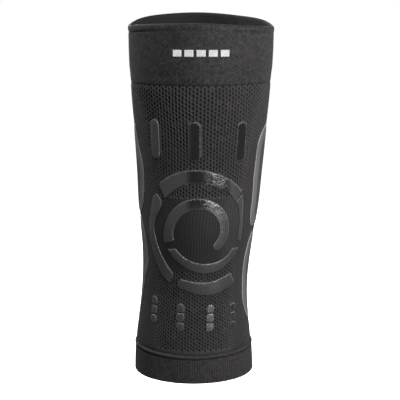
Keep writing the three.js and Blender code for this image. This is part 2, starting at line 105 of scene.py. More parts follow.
class Surface:
    """The smooth outer face of a CAD node that goes round the leg. A place on it is a share of the way
    round from the front line, between -0.5 and 0.5 and growing towards +X, and a height."""

    RAYS = 240
    SHARES = 720
    STEP = 1 * MM
    HARMONICS = 16
    BLUR_ROWS = 3
    RUN = 8  # rows that give the slope where the face is carried on past its ends
    FAR = 200 * MM  # a ray starts outside every piece

    def __init__(self, node, low, high, reach):
        rings = self.cast(node, np.arange(low, high, self.STEP))
        spectrum = np.fft.fft(rings, axis=1)
        spectrum[:, self.HARMONICS + 1 : -self.HARMONICS] = 0
        rings = np.fft.ifft(spectrum, axis=1)
        extra = int(reach / self.STEP)
        rings = self.blurred(self.carried_on(rings, extra))
        self.low = low - extra * self.STEP
        self.measure(rings)

    def cast(self, node, levels):
        """Where rays from outside meet the node, as rings of flat places."""
        tree = BVHTree.FromBMesh(welded(node))
        rings = np.zeros((len(levels), self.RAYS), complex)
        for j in range(self.RAYS):
            angle = math.tau * j / self.RAYS - math.pi
            outwards = Vector((math.sin(angle), -math.cos(angle), 0))
            for i, level in enumerate(levels):
                hit = tree.ray_cast(outwards * self.FAR + Vector((0, 0, level)), -outwards)[0]
                rings[i, j] = complex(hit.x, hit.y)
        return rings

    def carried_on(self, rings, count):
        """Adds rings below and above, in the way that the ends lean."""
        steps = np.arange(1, count + 1)[:, None] / self.RUN
        below = rings[0] + steps[::-1] * (rings[0] - rings[self.RUN])
        above = rings[-1] + steps * (rings[-1] - rings[-1 - self.RUN])
        return np.concatenate([below, rings, above])

    def blurred(self, rings):
        """Evens out the model's flat faces, up the leg."""
        half = 3 * self.BLUR_ROWS
        padded = self.carried_on(rings, half)
        weights = np.exp(-0.5 * (np.arange(-half, half + 1) / self.BLUR_ROWS) ** 2)
        weights /= weights.sum()
        return sum(w * padded[k : k + len(rings)] for k, w in enumerate(weights))

    def measure(self, rings):
        """Respaces each ring evenly by length from its front line, and finds the normals."""
        self.centres = (rings.real.max(1) + rings.real.min(1)) / 2
        self.lengths = np.abs(np.diff(rings, axis=1, append=rings[:, :1])).sum(1)
        shares = np.linspace(-0.5, 0.5, self.SHARES + 1)
        even = np.zeros((len(rings), self.SHARES + 1), complex)
        front = slice(self.RAYS // 4, 3 * self.RAYS // 4)
        for i, ring in enumerate(rings):
            closed = np.append(ring, ring[0])
            along = np.append(0, np.abs(np.diff(closed)).cumsum())
            start = np.interp(self.centres[i], ring.real[front], along[:-1][front])
            wanted = (start + shares * self.lengths[i]) % self.lengths[i]
            even[i] = np.interp(wanted, along, closed.real) + 1j * np.interp(wanted, along, closed.imag)
        levels = self.low + self.STEP * np.arange(len(rings))
        heights = np.broadcast_to(levels[:, None], even.shape)
        self.points = np.stack([even.real, even.imag, heights], -1)
        around = np.gradient(self.points, axis=1)
        around[:, 0] = around[:, -1] = (around[:, 0] + around[:, -1]) / 2
        normals = np.cross(around, np.gradient(self.points, axis=0))
        self.normals = normals / np.linalg.norm(normals, axis=-1, keepdims=True)
        self.angles = np.arctan2(even.real - self.centres[:, None], -even.imag)

    def read(self, table, share, height):
        """Reads a table of the face between its points."""
        column = ((np.asarray(share) + 0.5) % 1) * self.SHARES
        row = np.clip((np.asarray(height) - self.low) / self.STEP, 0, len(table) - 1.001)
        i = row.astype(int)
        j = column.astype(int)
        v = (row - i)[..., None]
        u = (column - j)[..., None]
        low = table[i, j] * (1 - u) + table[i, j + 1] * u
        high = table[i + 1, j] * (1 - u) + table[i + 1, j + 1] * u
        return low * (1 - v) + high * v

    def place(self, share, height, outwards):
        """Points in space that stand a distance outwards from the face."""
        point = self.read(self.points, share, height)
        normal = self.read(self.normals, share, height)
        return point + normal * np.asarray(outwards)[..., None]

    def girth(self, height):
        return np.interp(height, self.low + self.STEP * np.arange(len(self.lengths)), self.lengths)

    def share_at(self, point):
        row = int(np.clip(round((point[2] - self.low) / self.STEP), 0, len(self.points) - 1))
        angle = math.atan2(point[0] - self.centres[row], -point[1])
        return float(np.interp(angle, self.angles[row][1:-1], np.linspace(-0.5, 0.5, self.SHARES + 1)[1:-1]))


def edge_level(node, surface, top):
    """The height of a node's upper or lower edge as a function of the share round the leg."""
    sectors = 60
    waves = 6
    beside = 3
    stray = 1.5 * MM  # a corner this far off those beside it isn't on the edge
    best = {}
    solid = welded(node)
    for vertex in solid.verts:
        share = surface.share_at(vertex.co)
        sector = round(share * sectors) % sectors
        height = vertex.co.z if top else -vertex.co.z
        if sector not in best or height > best[sector][0]:
            best[sector] = (height, share)
    heights, shares = np.array([best[sector] for sector in sorted(best)]).T
    middle = np.median([np.roll(heights, k) for k in range(-beside, beside + 1)], axis=0)
    kept = np.abs(heights - middle) < stray
    heights = heights[kept] if top else -heights[kept]
    shares = shares[kept]
    turns = math.tau * np.outer(shares, np.arange(1, waves + 1))
    basis = np.hstack([np.ones((len(shares), 1)), np.cos(turns), np.sin(turns)])
    weights = np.linalg.lstsq(basis, heights, rcond=None)[0]

    def level(share):
        turns = math.tau * np.asarray(share)[..., None] * np.arange(1, waves + 1)
        ones = np.ones(turns.shape[:-1] + (1,))
        return np.concatenate([ones, np.cos(turns), np.sin(turns)], -1) @ weights

    return level


# Each face is read between its piece's trimmed ends, and carried on past them
body_low, body_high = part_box("sleeve_body")
lower_low, lower_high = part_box("lower_cuff")
upper_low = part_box("upper_cuff")[0]
knit_face = Surface("sleeve_body", body_low.z + 2.5 * MM, body_high.z - 1 * MM, 12 * MM)
upper_face = Surface("upper_cuff", upper_low.z + 1 * MM, upper_low.z + 38 * MM, 24 * MM)
lower_face = Surface("lower_cuff", lower_low.z + 4 * MM, lower_high.z - 6.5 * MM, 10 * MM)
upper_seam = edge_level("sleeve_body", knit_face, True)
body_foot = edge_level("sleeve_body", knit_face, False)
cuff_head = edge_level("upper_cuff", upper_face, True)
cuff_foot = edge_level("lower_cuff", lower_face, False)


def lower_seam(share):
    """The lower cuff's roll of yarn climbs a little over the knit."""
    return body_foot(share) + WELT_CLIMB


def upper_rim(share):
    """The soft rim sits a little higher on its right."""
    side = (share + 0.5) % 1 - 0.5
    return cuff_head(share) + RIM_LIFT * smooth_step(0.1, 0.2, side) * smooth_step(0.42, 0.3, side)


def lower_rim(share):
    """The turned foot of the lower cuff hangs a little low."""
    return cuff_foot(share) - FOOT_SAG


# Helpers for meshes
def add_object(name, data):
    thing = bpy.data.objects.new(name, data)
    bpy.context.scene.collection.objects.link(thing)
    return thing


def new_piece(name, points, faces, material):
    mesh = bpy.data.meshes.new(name)
    mesh.from_pydata([tuple(p) for p in points], [], [tuple(f) for f in faces])
    mesh.materials.append(material)
    mesh.shade_smooth()
    return add_object(name, mesh)


def between(low, high):
    """Faces between two rings of points, given by the points' numbers."""
    count = len(low)
    return [(low[k], low[(k + 1) % count], high[(k + 1) % count], high[k]) for k in range(count)]


def bands(count, rings, closed=False):
    """Faces between rings of count points. If closed, the last ring is joined to the first."""
    faces = []
    for r in range(rings if closed else rings - 1):
        n = (r + 1) % rings
        faces += between(range(r * count, (r + 1) * count), range(n * count, (n + 1) * count))
    return faces


def add_cloth_map(mesh, columns, rows):
    """A UV map in whole stitches: columns round the sleeve and rows up it."""
    corners = np.zeros(len(mesh.loops), int)
    mesh.loops.foreach_get("vertex_index", corners)
    layer = mesh.uv_layers.new(name="stitches")
    places = np.stack([columns[corners], rows[corners]], -1)
    layer.uv.foreach_set("vector", places.astype(np.float32).ravel())


def add_values(mesh, name, values, kind="FLOAT"):
    """Stores a value or a vector for each point."""
    numbers = np.asarray(values, np.int32 if kind == "INT" else np.float32)
    attribute = mesh.attributes.new(name, kind, "POINT")
    attribute.data.foreach_set("vector" if kind == "FLOAT_VECTOR" else "value", numbers.ravel())


def read_values(mesh, name):
    values = np.zeros(len(mesh.vertices), np.float32)
    mesh.attributes[name].data.foreach_get("value", values)
    return values


def read_points(mesh):
    """The points' three coordinates, one after another."""
    flat = np.zeros(len(mesh.vertices) * 3, np.float32)
    mesh.vertices.foreach_get("co", flat)
    return flat.reshape(-1, 3).astype(float).T


def move_points(mesh, places):
    mesh.vertices.foreach_set("co", places.astype(np.float32).ravel())
    mesh.update()


# Outlines of the printed strips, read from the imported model
class Outline:
    """The outer edge of a printed strip, laid flat: lengths round from the front line, and heights."""

    SPACING = 0.5 * MM
    CORNER = math.radians(50)

    def __init__(self, node, softening):
        solid = welded(node)
        face_up = []
        for face in solid.faces:
            centre = face.calc_center_median()
            share = knit_face.share_at(centre)
            normal = knit_face.read(knit_face.normals, share, centre.z)
            if face.normal.dot(Vector(normal)) > 0.7:
                face_up.append(face)
        following = {}
        shown = set(face_up)
        for face in face_up:
            for loop in face.loops:
                if not any(other in shown for other in loop.edge.link_faces if other is not face):
                    following[loop.vert] = loop.link_loop_next.vert
        vertex = next(iter(following))
        ring = []
        while len(ring) < len(following):
            ring.append(vertex)
            vertex = following[vertex]
        places = []
        for vertex in ring:
            share = knit_face.share_at(vertex.co)
            places.append((share * float(knit_face.girth(vertex.co.z)), vertex.co.z))
        self.points = self.softened(self.curved(np.array(places)), softening)
        after = np.roll(self.points, -1, 0) - np.roll(self.points, 1, 0)
        after /= np.linalg.norm(after, axis=1, keepdims=True)
        self.inwards = np.stack([-after[:, 1], after[:, 0]], -1)

    def curved(self, ring):
        """A smooth curve through the ring, which turns sharply only at its real corners."""
        before = ring - np.roll(ring, 1, 0)
        after = np.roll(ring, -1, 0) - ring
        turn = np.arctan2(after[:, 1], after[:, 0]) - np.arctan2(before[:, 1], before[:, 0])
        sharp = np.abs((turn + math.pi) % math.tau - math.pi) > self.CORNER
        slopes = (np.roll(ring, -1, 0) - np.roll(ring, 1, 0)) / 2
        curve = []
        for i in range(len(ring)):
            j = (i + 1) % len(ring)
            step = ring[j] - ring[i]
            leave = step if sharp[i] else slopes[i]
            arrive = step if sharp[j] else slopes[j]
            length = np.linalg.norm(step)
            leave = leave * length / max(np.linalg.norm(leave), 1e-9)
            arrive = arrive * length / max(np.linalg.norm(arrive), 1e-9)
            count = max(1, round(length / self.SPACING))
            for t in np.arange(count) / count:
                curve.append(
                    (2 * t**3 - 3 * t**2 + 1) * ring[i]
                    + (t**3 - 2 * t**2 + t) * leave
                    + (3 * t**2 - 2 * t**3) * ring[j]
                    + (t**3 - t**2) * arrive
                )
        return np.array(curve)

    def softened(self, curve, passes):
        """Rounds the curve off, more with each pass."""
        for _ in range(passes):
            curve = 0.5 * curve + 0.25 * (np.roll(curve, 1, 0) + np.roll(curve, -1, 0))
        return curve

    def inset(self, distance):
        """The outline drawn in by a distance."""
        return self.points + self.inwards * distance

    def holds(self, places):
        """Which of these flat places lie inside the outline."""
        x, y = places[:, None, 0], places[:, None, 1]
        ax, ay = self.points[None, :, 0], self.points[None, :, 1]
        bx, by = np.roll(self.points[:, 0], -1)[None], np.roll(self.points[:, 1], -1)[None]
        crosses = (ay > y) != (by > y)
        rise = np.where(by == ay, 1, by - ay)
        meets = ax + (y - ay) / rise * (bx - ax)
        return (crosses & (x < meets)).sum(1) % 2 == 1

    def gap(self, places):
        """How far each place is from the outline."""
        apart = places[:, None] - self.points[None]
        return np.sqrt((apart**2).sum(-1).min(1))

    def faces_way(self, places, way):
        """How far the edge nearest to each place faces a flat direction, from 0 to 1."""
        apart = places[:, None] - self.points[None]
        nearest = (apart**2).sum(-1).argmin(1)
        return np.clip(-self.inwards[nearest] @ np.array(way), 0, 1)


ARCS = ["outer_arc_top", "outer_arc_left", "outer_arc_right", "outer_arc_bottom"]
SWIRLS = ["inner_swirl", "inner_crescent"]
BARS = ["thigh_bar_left", "thigh_bar_middle", "thigh_bar_right"]
DASHES = [f"shin_dash_{column}_{part}" for column in range(1, 5) for part in ("top", "middle", "foot")]
LEAVES = [f"side_leaf_{side}_{part}" for side in ("left", "right") for part in ("upper", "lower")]
FRONT_PRINTS = ARCS + SWIRLS + BARS + DASHES
ROUND_ENDED = ["outer_arc_left", "outer_arc_right", "outer_arc_bottom", "inner_swirl"] + LEAVES
SOFT_PASSES, FIRM_PASSES = 16, 4  # how much an outline's corners are rounded off
outlines = {}
for name in FRONT_PRINTS + LEAVES:
    outlines[name] = Outline(name, SOFT_PASSES if name in ROUND_ENDED else FIRM_PASSES)


# Shared shader pieces
class Nodes:
    """Adds nodes to a tree by short calls. A value that is a socket is linked, and any other is set."""

    def __init__(self, tree):
        self.tree = tree

    def add(self, kind, settings=None, **values):
        node = self.tree.nodes.new(kind)
        for name, value in (settings or {}).items():
            setattr(node, name, value)
        for name, value in values.items():
            key = int(name[1:]) if name[0] == "i" and name[1:].isdigit() else name.replace("_", " ")
            self.put(node.inputs[key], value)
        return node

    def put(self, socket, value):
        if isinstance(value, bpy.types.NodeSocket):
            self.tree.links.new(value, socket)
        else:
            socket.default_value = value

    def math(self, operation, first, second=0.0, third=0.0):
        node = self.add("ShaderNodeMath", {"operation": operation}, i0=first, i1=second, i2=third)
        return node.outputs[0]

    def vector_math(self, operation, first, second=None, scale=None):
        node = self.add("ShaderNodeVectorMath", {"operation": operation}, i0=first)
        if second is not None:
            self.put(node.inputs[1], second)
        if scale is not None:
            self.put(node.inputs["Scale"], scale)
        return node.outputs[0]

    def mix(self, share, first, second):
        node = self.add("ShaderNodeMix", {"data_type": "RGBA"})
        self.put(node.inputs["Factor"], share)
        self.put(node.inputs[6], first)
        self.put(node.inputs[7], second)
        return node.outputs[2]

    def ramp(self, value, low, high, out_low=0.0, out_high=1.0):
        node = self.add("ShaderNodeMapRange", {"interpolation_type": "SMOOTHSTEP"}, Value=value)
        node.inputs["From Min"].default_value = low
        node.inputs["From Max"].default_value = high
        node.inputs["To Min"].default_value = out_low
        node.inputs["To Max"].default_value = out_high
        return node.outputs[0]

    def noise(self, place, scale, detail=2.0, roughness=0.5):
        node = self.add("ShaderNodeTexNoise", Vector=place, Scale=scale, Detail=detail, Roughness=roughness)
        return node.outputs["Fac"]

    def stored(self, name):
        """A value that the mesh stores for each point."""
        return self.add("ShaderNodeAttribute", {"attribute_name": name}).outputs["Fac"]

    def object_place(self):
        return self.add("ShaderNodeTexCoord").outputs["Object"]


def shader_group(name, inputs, outputs, build):
    """A node group with named sockets. build gets its nodes and a lookup of its inputs."""
    tree = bpy.data.node_groups.new(name, "ShaderNodeTree")
    kinds = {"float": "NodeSocketFloat", "colour": "NodeSocketColor", "vector": "NodeSocketVector"}
    for title, (kind, value) in inputs.items():
        socket = tree.interface.new_socket(title, in_out="INPUT", socket_type=kinds[kind])
        if value is not None:
            socket.default_value = value
    for title, kind in outputs.items():
        tree.interface.new_socket(title, in_out="OUTPUT", socket_type=kinds[kind])
    nodes = Nodes(tree)
    given = tree.nodes.new("NodeGroupInput")
    results = build(nodes, given.outputs)
    out = tree.nodes.new("NodeGroupOutput")
    for title, socket in results.items():
        tree.links.new(socket, out.inputs[title])
    return tree


def stitch_loops(nodes, given):
    """Rows of small V-shaped loops, as on the face of plain knit. Each column can sit a part of a loop
    higher than the last."""
    split = nodes.add("ShaderNodeSeparateXYZ", Vector=given["Place"])
    across = nodes.math("MULTIPLY", split.outputs[0], given["Loops across"])
    along = nodes.math("MULTIPLY", split.outputs[1], given["Loops along"])
    along = nodes.math("ADD", along, nodes.math("MULTIPLY", nodes.math("FLOOR", across), given["Drop"]))
    side = nodes.math("ABSOLUTE", nodes.math("SUBTRACT", nodes.math("FRACT", across), 0.5))
    leg = nodes.math("ADD", along, nodes.math("MULTIPLY", side, 1.1))
    wave = nodes.math("COSINE", nodes.math("MULTIPLY", leg, math.tau))
    bead = nodes.math("MULTIPLY_ADD", wave, 0.5, 0.5)
    hump = nodes.math("POWER", nodes.math("MULTIPLY_ADD", side, 4.0, -1.0), 2.0)
    rounded = nodes.math("SUBTRACT", 1.0, hump)
    height = nodes.math("MULTIPLY_ADD", bead, 0.55, nodes.math("MULTIPLY", rounded, 0.45))
    return {"Height": height}


def slanting_ribs(nodes, given):
    """Fine ribs of yarn that climb towards the front line on both sides of the leg."""
    split = nodes.add("ShaderNodeSeparateXYZ", Vector=given["Place"])
    across = nodes.math("MULTIPLY", split.outputs[0], given["Ribs across"])
    along = nodes.math("MULTIPLY", split.outputs[1], given["Ribs along"])
    wave = nodes.math("COSINE", nodes.math("MULTIPLY", nodes.math("ADD", across, along), math.tau))
    crest = nodes.ramp(wave, -0.7, 0.5)
    height = nodes.math("MULTIPLY", crest, given["Strength"])
    # The second output is painted shade in the grooves between the ribs
    return {"Height": height, "Hollow": nodes.math("SUBTRACT", given["Strength"], height)}


def melange(nodes, given):
    """Uneven dyeing and loose fibres: a slow drift of tone and a fine fleck."""
    slow = nodes.noise(given["Place"], 38.0, 3.0)
    fine = nodes.noise(given["Place"], 2600.0, 2.0, 0.7)
    drift = nodes.math("MULTIPLY", nodes.math("SUBTRACT", slow, 0.5), given["Drift"])
    fleck = nodes.math("MULTIPLY", nodes.math("SUBTRACT", fine, 0.5), given["Fleck"])
    tone = nodes.math("ADD", 1.0, nodes.math("ADD", drift, fleck))
    return {"Colour": nodes.vector_math("SCALE", given["Colour"], scale=tone), "Fleck": fine}


def edge_highlight_and_glints(nodes, given):
    """How close a point is to a print's edge, broken up a little, for a painted highlight along it, and
    painted glints: bright specks near the edges that are marked to catch the light."""
    grain = nodes.noise(given["Place"], 900.0, 2.0)
    reach = nodes.math("MULTIPLY_ADD", grain, 0.4, 0.8)
    near = nodes.math("SUBTRACT", 1.0, nodes.math("DIVIDE", given["From edge"], reach))
    fringe = nodes.ramp(given["From edge"], 0.5, 1.5, 1.0, 0.0)
    spots = nodes.ramp(nodes.noise(given["Place"], 1250.0, 1.0), 0.52, 0.62)
    specks = nodes.math("MULTIPLY", nodes.math("MULTIPLY", fringe, spots), given["Rub"])
    return {"Edge": nodes.math("MAXIMUM", near, 0.0), "Specks": specks}


def goosebumps(nodes, given):
    """The pebbled skin of silicone that was printed over loops of yarn."""
    cells = nodes.add(
        "ShaderNodeTexVoronoi", {"feature": "SMOOTH_F1"}, Vector=given["Place"], Scale=given["Scale"]
    )
    soft = nodes.noise(given["Place"], 420.0, 2.0)
    height = nodes.math("MULTIPLY_ADD", soft, 0.4, nodes.math("SUBTRACT", 1.0, cells.outputs["Distance"]))
    return {"Height": height}


STITCH_LOOPS = shader_group(
    "Stitch loops",
    {
        "Place": ("vector", None),
        "Loops across": ("float", 2.0),
        "Loops along": ("float", 3.0),
        "Drop": ("float", 0.0),
    },
    {"Height": "float"},
    stitch_loops,
)
SLANTING_RIBS = shader_group(
    "Slanting ribs",
    {
        "Place": ("vector", None),
        "Ribs across": ("float", 0.65),
        "Ribs along": ("float", 1.3),
        "Strength": ("float", 1.0),
    },
    {"Height": "float", "Hollow": "float"},
    slanting_ribs,
)
MELANGE = shader_group(
    "Melange",
    {
        "Place": ("vector", None),
        "Colour": ("colour", (0.03, 0.03, 0.03, 1)),
        "Drift": ("float", 0.3),
        "Fleck": ("float", 0.5),
    },
    {"Colour": "colour", "Fleck": "float"},
    melange,
)
EDGE_HIGHLIGHT_AND_GLINTS = shader_group(
    "Rubbed edge",
    {"Place": ("vector", None), "From edge": ("float", 1.0), "Rub": ("float", 0.0)},
    {"Edge": "float", "Specks": "float"},
    edge_highlight_and_glints,
)
GOOSEBUMPS = shader_group(
    "Goosebumps",
    {"Place": ("vector", None), "Scale": ("float", 1100.0)},
    {"Height": "float"},
    goosebumps,
)


def place_group(nodes, group, **values):
    node = nodes.add("ShaderNodeGroup")
    node.node_tree = group
    for name, value in values.items():
        nodes.put(node.inputs[name.replace("_", " ")], value)
    return node.outputs


def new_material(name):
    material = bpy.data.materials.new(name)
    material.use_nodes = True
    nodes = Nodes(material.node_tree)
    shader = material.node_tree.nodes["Principled BSDF"]
    return material, nodes, shader


# Colours of yarn and silicone, in linear light
CHARCOAL = (0.043, 0.0396, 0.039, 1)
# The near-black that painted shade darkens the yarn towards
PAINTED_SHADE_CHARCOAL = (0.0045, 0.0042, 0.0042, 1)
CUFF_CHARCOAL = (0.050, 0.0462, 0.0455, 1)
RIB_CHARCOAL = (0.041, 0.0377, 0.0368, 1)
# The dull grey of the front ink, lightened by a painted sheen
PRINT_SHEEN_GREY = (0.042, 0.042, 0.043, 1)
PRINT_GLOSS_GREY = (0.013, 0.013, 0.014, 1)
# A painted highlight along the edges of the front strips
PRINT_HIGHLIGHT_GREY = (0.07, 0.07, 0.07, 1)
LEAF_GREY = (0.108, 0.106, 0.103, 1)
# A painted highlight along the edges of the leaves
LEAF_HIGHLIGHT_GREY = (0.36, 0.35, 0.34, 1)
LEAF_MIDDLE_GREY = (0.045, 0.044, 0.043, 1)
# Painted glints on the edges of the front strips
GLINT_GREY = (0.26, 0.26, 0.27, 1)
WHITE_YARN = (0.75, 0.74, 0.73, 1)


def knit_material(name, colour, loops_across, loops_along, drop, depth, drift, fleck):
    """Dull nylon knit. The yarn is painted darker where the piece stores painted shade, in its eyelets,
    hollows and seams, as it is in the low parts of its loops, and where it says so it is worked in
    slanting ribs, with painted shade in their grooves."""
    material, nodes, shader = new_material(name)
    stitches = nodes.add("ShaderNodeUVMap", {"uv_map": "stitches"}).outputs["UV"]
    loops = place_group(
        nodes, STITCH_LOOPS, Place=stitches, Loops_across=loops_across, Loops_along=loops_along, Drop=drop
    )
    ribs = place_group(nodes, SLANTING_RIBS, Place=stitches, Strength=nodes.stored("slant"))
    # Painted shade in the low parts of each loop
    yarn = nodes.mix(nodes.ramp(loops["Height"], 0.05, 0.75, 0.35, 1.0), PAINTED_SHADE_CHARCOAL, colour)
    # Painted shade: the shade stored on the piece, and the painted shade in the grooves between slanting ribs
    painted_yarn_shade = nodes.math("MAXIMUM", nodes.stored("shade"), nodes.math("MULTIPLY", ribs["Hollow"], 0.85))
    yarn = nodes.mix(painted_yarn_shade, yarn, PAINTED_SHADE_CHARCOAL)
    dyed = place_group(nodes, MELANGE, Place=nodes.object_place(), Colour=yarn, Drift=drift, Fleck=fleck)
    height = nodes.math("ADD", nodes.math("MULTIPLY", loops["Height"], 0.6), ribs["Height"])
    bump = nodes.add("ShaderNodeBump", Height=height, Distance=depth, Strength=0.8)
    nodes.put(shader.inputs["Base Color"], dyed["Colour"])
    nodes.put(shader.inputs["Roughness"], nodes.ramp(dyed["Fleck"], 0.3, 0.8, 0.78, 0.62))
    nodes.put(shader.inputs["Normal"], bump.outputs[0])
    shader.inputs["Sheen Weight"].default_value = 0.08
    shader.inputs["Sheen Roughness"].default_value = 0.4
    shader.inputs["Specular IOR Level"].default_value = 0.3
    return material


def silicone_material(name, colours, scale, depth, roughness, gloss):
    """Silicone ink, pebbled by the knit beneath it. The colours are those of its dull body, which on the
    front strips is lightened by a painted sheen, of its edge, a painted highlight, of its middle, which
    shows only on wide strips, and of its dark body where it is glossy. Painted glints fleck the edges
    that are marked to catch the light."""
    material, nodes, shader = new_material(name)
    body, rim, middle, glossy = colours
    objects = nodes.object_place()
    from_edge = nodes.stored("from_edge")
    # 1 where the ink is glossy and dark, 0 where it is dull and lightened by a painted sheen
    gloss_vs_sheen = nodes.stored("gloss")
    edge = place_group(nodes, EDGE_HIGHLIGHT_AND_GLINTS, Place=objects, From_edge=from_edge, Rub=nodes.stored("painted_glint"))
    skin = place_group(nodes, GOOSEBUMPS, Place=objects, Scale=scale)
    # Where the ink is dull its colour is lightened by a painted sheen
    tinted = nodes.mix(nodes.ramp(from_edge, 6.5, 11.0), nodes.mix(gloss_vs_sheen, body, glossy), middle)
    # A painted highlight along the edge
    tinted = nodes.mix(nodes.math("MULTIPLY", edge["Edge"], 0.8), tinted, rim)
    # Painted glints
    tinted = nodes.mix(edge["Specks"], tinted, GLINT_GREY)
    dyed = place_group(nodes, MELANGE, Place=objects, Colour=tinted, Drift=0.6, Fleck=0.9)
    bump = nodes.add("ShaderNodeBump", Height=skin["Height"], Distance=depth, Strength=0.9)
    nodes.put(shader.inputs["Base Color"], dyed["Colour"])
    low, high = roughness
    worn = nodes.ramp(dyed["Fleck"], 0.35, 0.7, low, high)
    polish = nodes.math("MULTIPLY_ADD", gloss_vs_sheen, -0.6, 1.0)
    nodes.put(shader.inputs["Roughness"], nodes.math("MULTIPLY", worn, polish))
    nodes.put(shader.inputs["Normal"], bump.outputs[0])
    shader.inputs["Specular IOR Level"].default_value = gloss
    return material


STRETCHED_KNIT = knit_material(
    "stretched_knit",
    CHARCOAL,
    loops_across=2.0,
    loops_along=3.0,
    drop=0.0,
    depth=0.3 * MM,
    drift=0.35,
    fleck=0.8,
)
CUFF_KNIT = knit_material(
    "doubled_knit",
    CUFF_CHARCOAL,
    loops_across=1.0,
    loops_along=1.0,
    drop=0.5,
    depth=0.25 * MM,
    drift=0.3,
    fleck=0.7,
)
RIB_KNIT = knit_material(
    "ribbed_knit",
    RIB_CHARCOAL,
    loops_across=1.0,
    loops_along=2.5,
    drop=0.0,
    depth=0.25 * MM,
    drift=0.3,
    fleck=0.7,
)
FRONT_SILICONE = silicone_material(
    "front_silicone",
    (PRINT_SHEEN_GREY, PRINT_HIGHLIGHT_GREY, PRINT_SHEEN_GREY, PRINT_GLOSS_GREY),
    scale=1000.0,
    depth=0.35 * MM,
    roughness=(0.42, 0.2),
    gloss=0.7,
)
SIDE_SILICONE = silicone_material(
    "side_silicone",
    (LEAF_GREY, LEAF_HIGHLIGHT_GREY, LEAF_MIDDLE_GREY, LEAF_GREY),
    scale=1300.0,
    depth=0.12 * MM,
    roughness=(0.55, 0.4),
    gloss=0.4,
)


def white_yarn_material():
    material, nodes, shader = new_material("white_yarn")
    places = nodes.object_place()
    dyed = place_group(nodes, MELANGE, Place=places, Colour=WHITE_YARN, Drift=0.05, Fleck=0.2)
    bump = nodes.add("ShaderNodeBump", Height=dyed["Fleck"], Distance=0.1 * MM, Strength=0.6)
    nodes.put(shader.inputs["Base Color"], dyed["Colour"])
    nodes.put(shader.inputs["Normal"], bump.outputs[0])
    shader.inputs["Roughness"].default_value = 0.7
    shader.inputs["Sheen Weight"].default_value = 0.2
    return material


WHITE_KNIT = white_yarn_material()


# The knit, made flat by Geometry Nodes from one cell for each stitch column and row
WELD_DISTANCE = 0.004  # in stitches
EYELET_LIP = -0.35 * MM
EYELET_FLOOR = -1.3 * MM
CLOSED, OPEN, HALF = 0, 1, 2
BORDER, SHOULDER, LIP, FLOOR, INNER_BORDER, CROWN = range(6)
CELL_CORNERS = [(0.5, 0), (0.5, 0.5), (0, 0.5), (-0.5, 0.5), (-0.5, 0), (-0.5, -0.5), (0, -0.5), (0.5, -0.5)]


def cell_object(name, rings, faces):
    """One knit cell in the flat, as rings of points. A ring is its corners, its part of the cell, how
    far it is drawn in to the eyelet, and whether it is on the inner face."""
    points = []
    parts = []
    pulls = []
    ways = []
    for corners, part, pull, inside in rings:
        for k, (x, y) in enumerate(corners):
            points.append((x, y, -1.0 if inside else 0.0))
            parts.append(part)
            pulls.append(pull)
            turn = math.tau * k / len(CELL_CORNERS)
            ways.append((math.cos(turn), math.sin(turn), 0))
    mesh = bpy.data.meshes.new(name)
    mesh.from_pydata(points, [], faces)
    add_values(mesh, "part", parts)
    add_values(mesh, "pull", pulls)
    add_values(mesh, "eyelet_way", ways, "FLOAT_VECTOR")
    return bpy.data.objects.new(name, mesh)


def open_cell():
    """A cell with a deep eyelet, closed at its floor by a sheet that stands for thin cloth behind it and is
    painted fully dark as the shade inside the hole.
    """
    count = len(CELL_CORNERS)
    rings = [
        (CELL_CORNERS, BORDER, 0, False),
        (CELL_CORNERS, SHOULDER, 0.58, False),
        (CELL_CORNERS, LIP, 1, False),
        ([(0, 0)], FLOOR, 0, False),
        (CELL_CORNERS, INNER_BORDER, 0, True),
    ]
    faces = bands(count, 3)
    faces += [(2 * count + k, 2 * count + (k + 1) % count, 3 * count) for k in range(count)]
    faces.append(tuple(3 * count + 1 + k for k in reversed(range(count))))
    return cell_object("open_cell", rings, faces)


def plain_cell(name, corners):
    """A closed cell, a little raised at its middle."""
    count = len(corners)
    rings = [(corners, BORDER, 0, False), ([(0, 0)], CROWN, 0, False), (corners, INNER_BORDER, 0, True)]
    faces = [(k, (k + 1) % count, count) for k in range(count)]
    faces.append(tuple(count + 1 + k for k in reversed(range(count))))
    return cell_object(name, rings, faces)


def geometry_tree(name, inputs):
    """A Geometry Nodes tree that takes points and the named inputs, and gives back a mesh."""
    tree = bpy.data.node_groups.new(name, "GeometryNodeTree")
    for title, kind in [("Places", "Geometry")] + inputs:
        tree.interface.new_socket(title, in_out="INPUT", socket_type=f"NodeSocket{kind}")
    tree.interface.new_socket("Mesh", in_out="OUTPUT", socket_type="NodeSocketGeometry")
    return tree, Nodes(tree), tree.nodes.new("NodeGroupInput").outputs


def close_tree(nodes, mesh, material):
    """Gives the mesh its material and hands it out."""
    coloured = nodes.add("GeometryNodeSetMaterial", Geometry=mesh, Material=material)
    out = nodes.tree.nodes.new("NodeGroupOutput")
    nodes.tree.links.new(coloured.outputs[0], out.inputs[0])


def read_object(nodes, thing):
    """The mesh of an object that is handed to a tree."""
    node = nodes.add("GeometryNodeObjectInfo", {"transform_space": "ORIGINAL"}, Object=thing)
    return node.outputs["Geometry"]


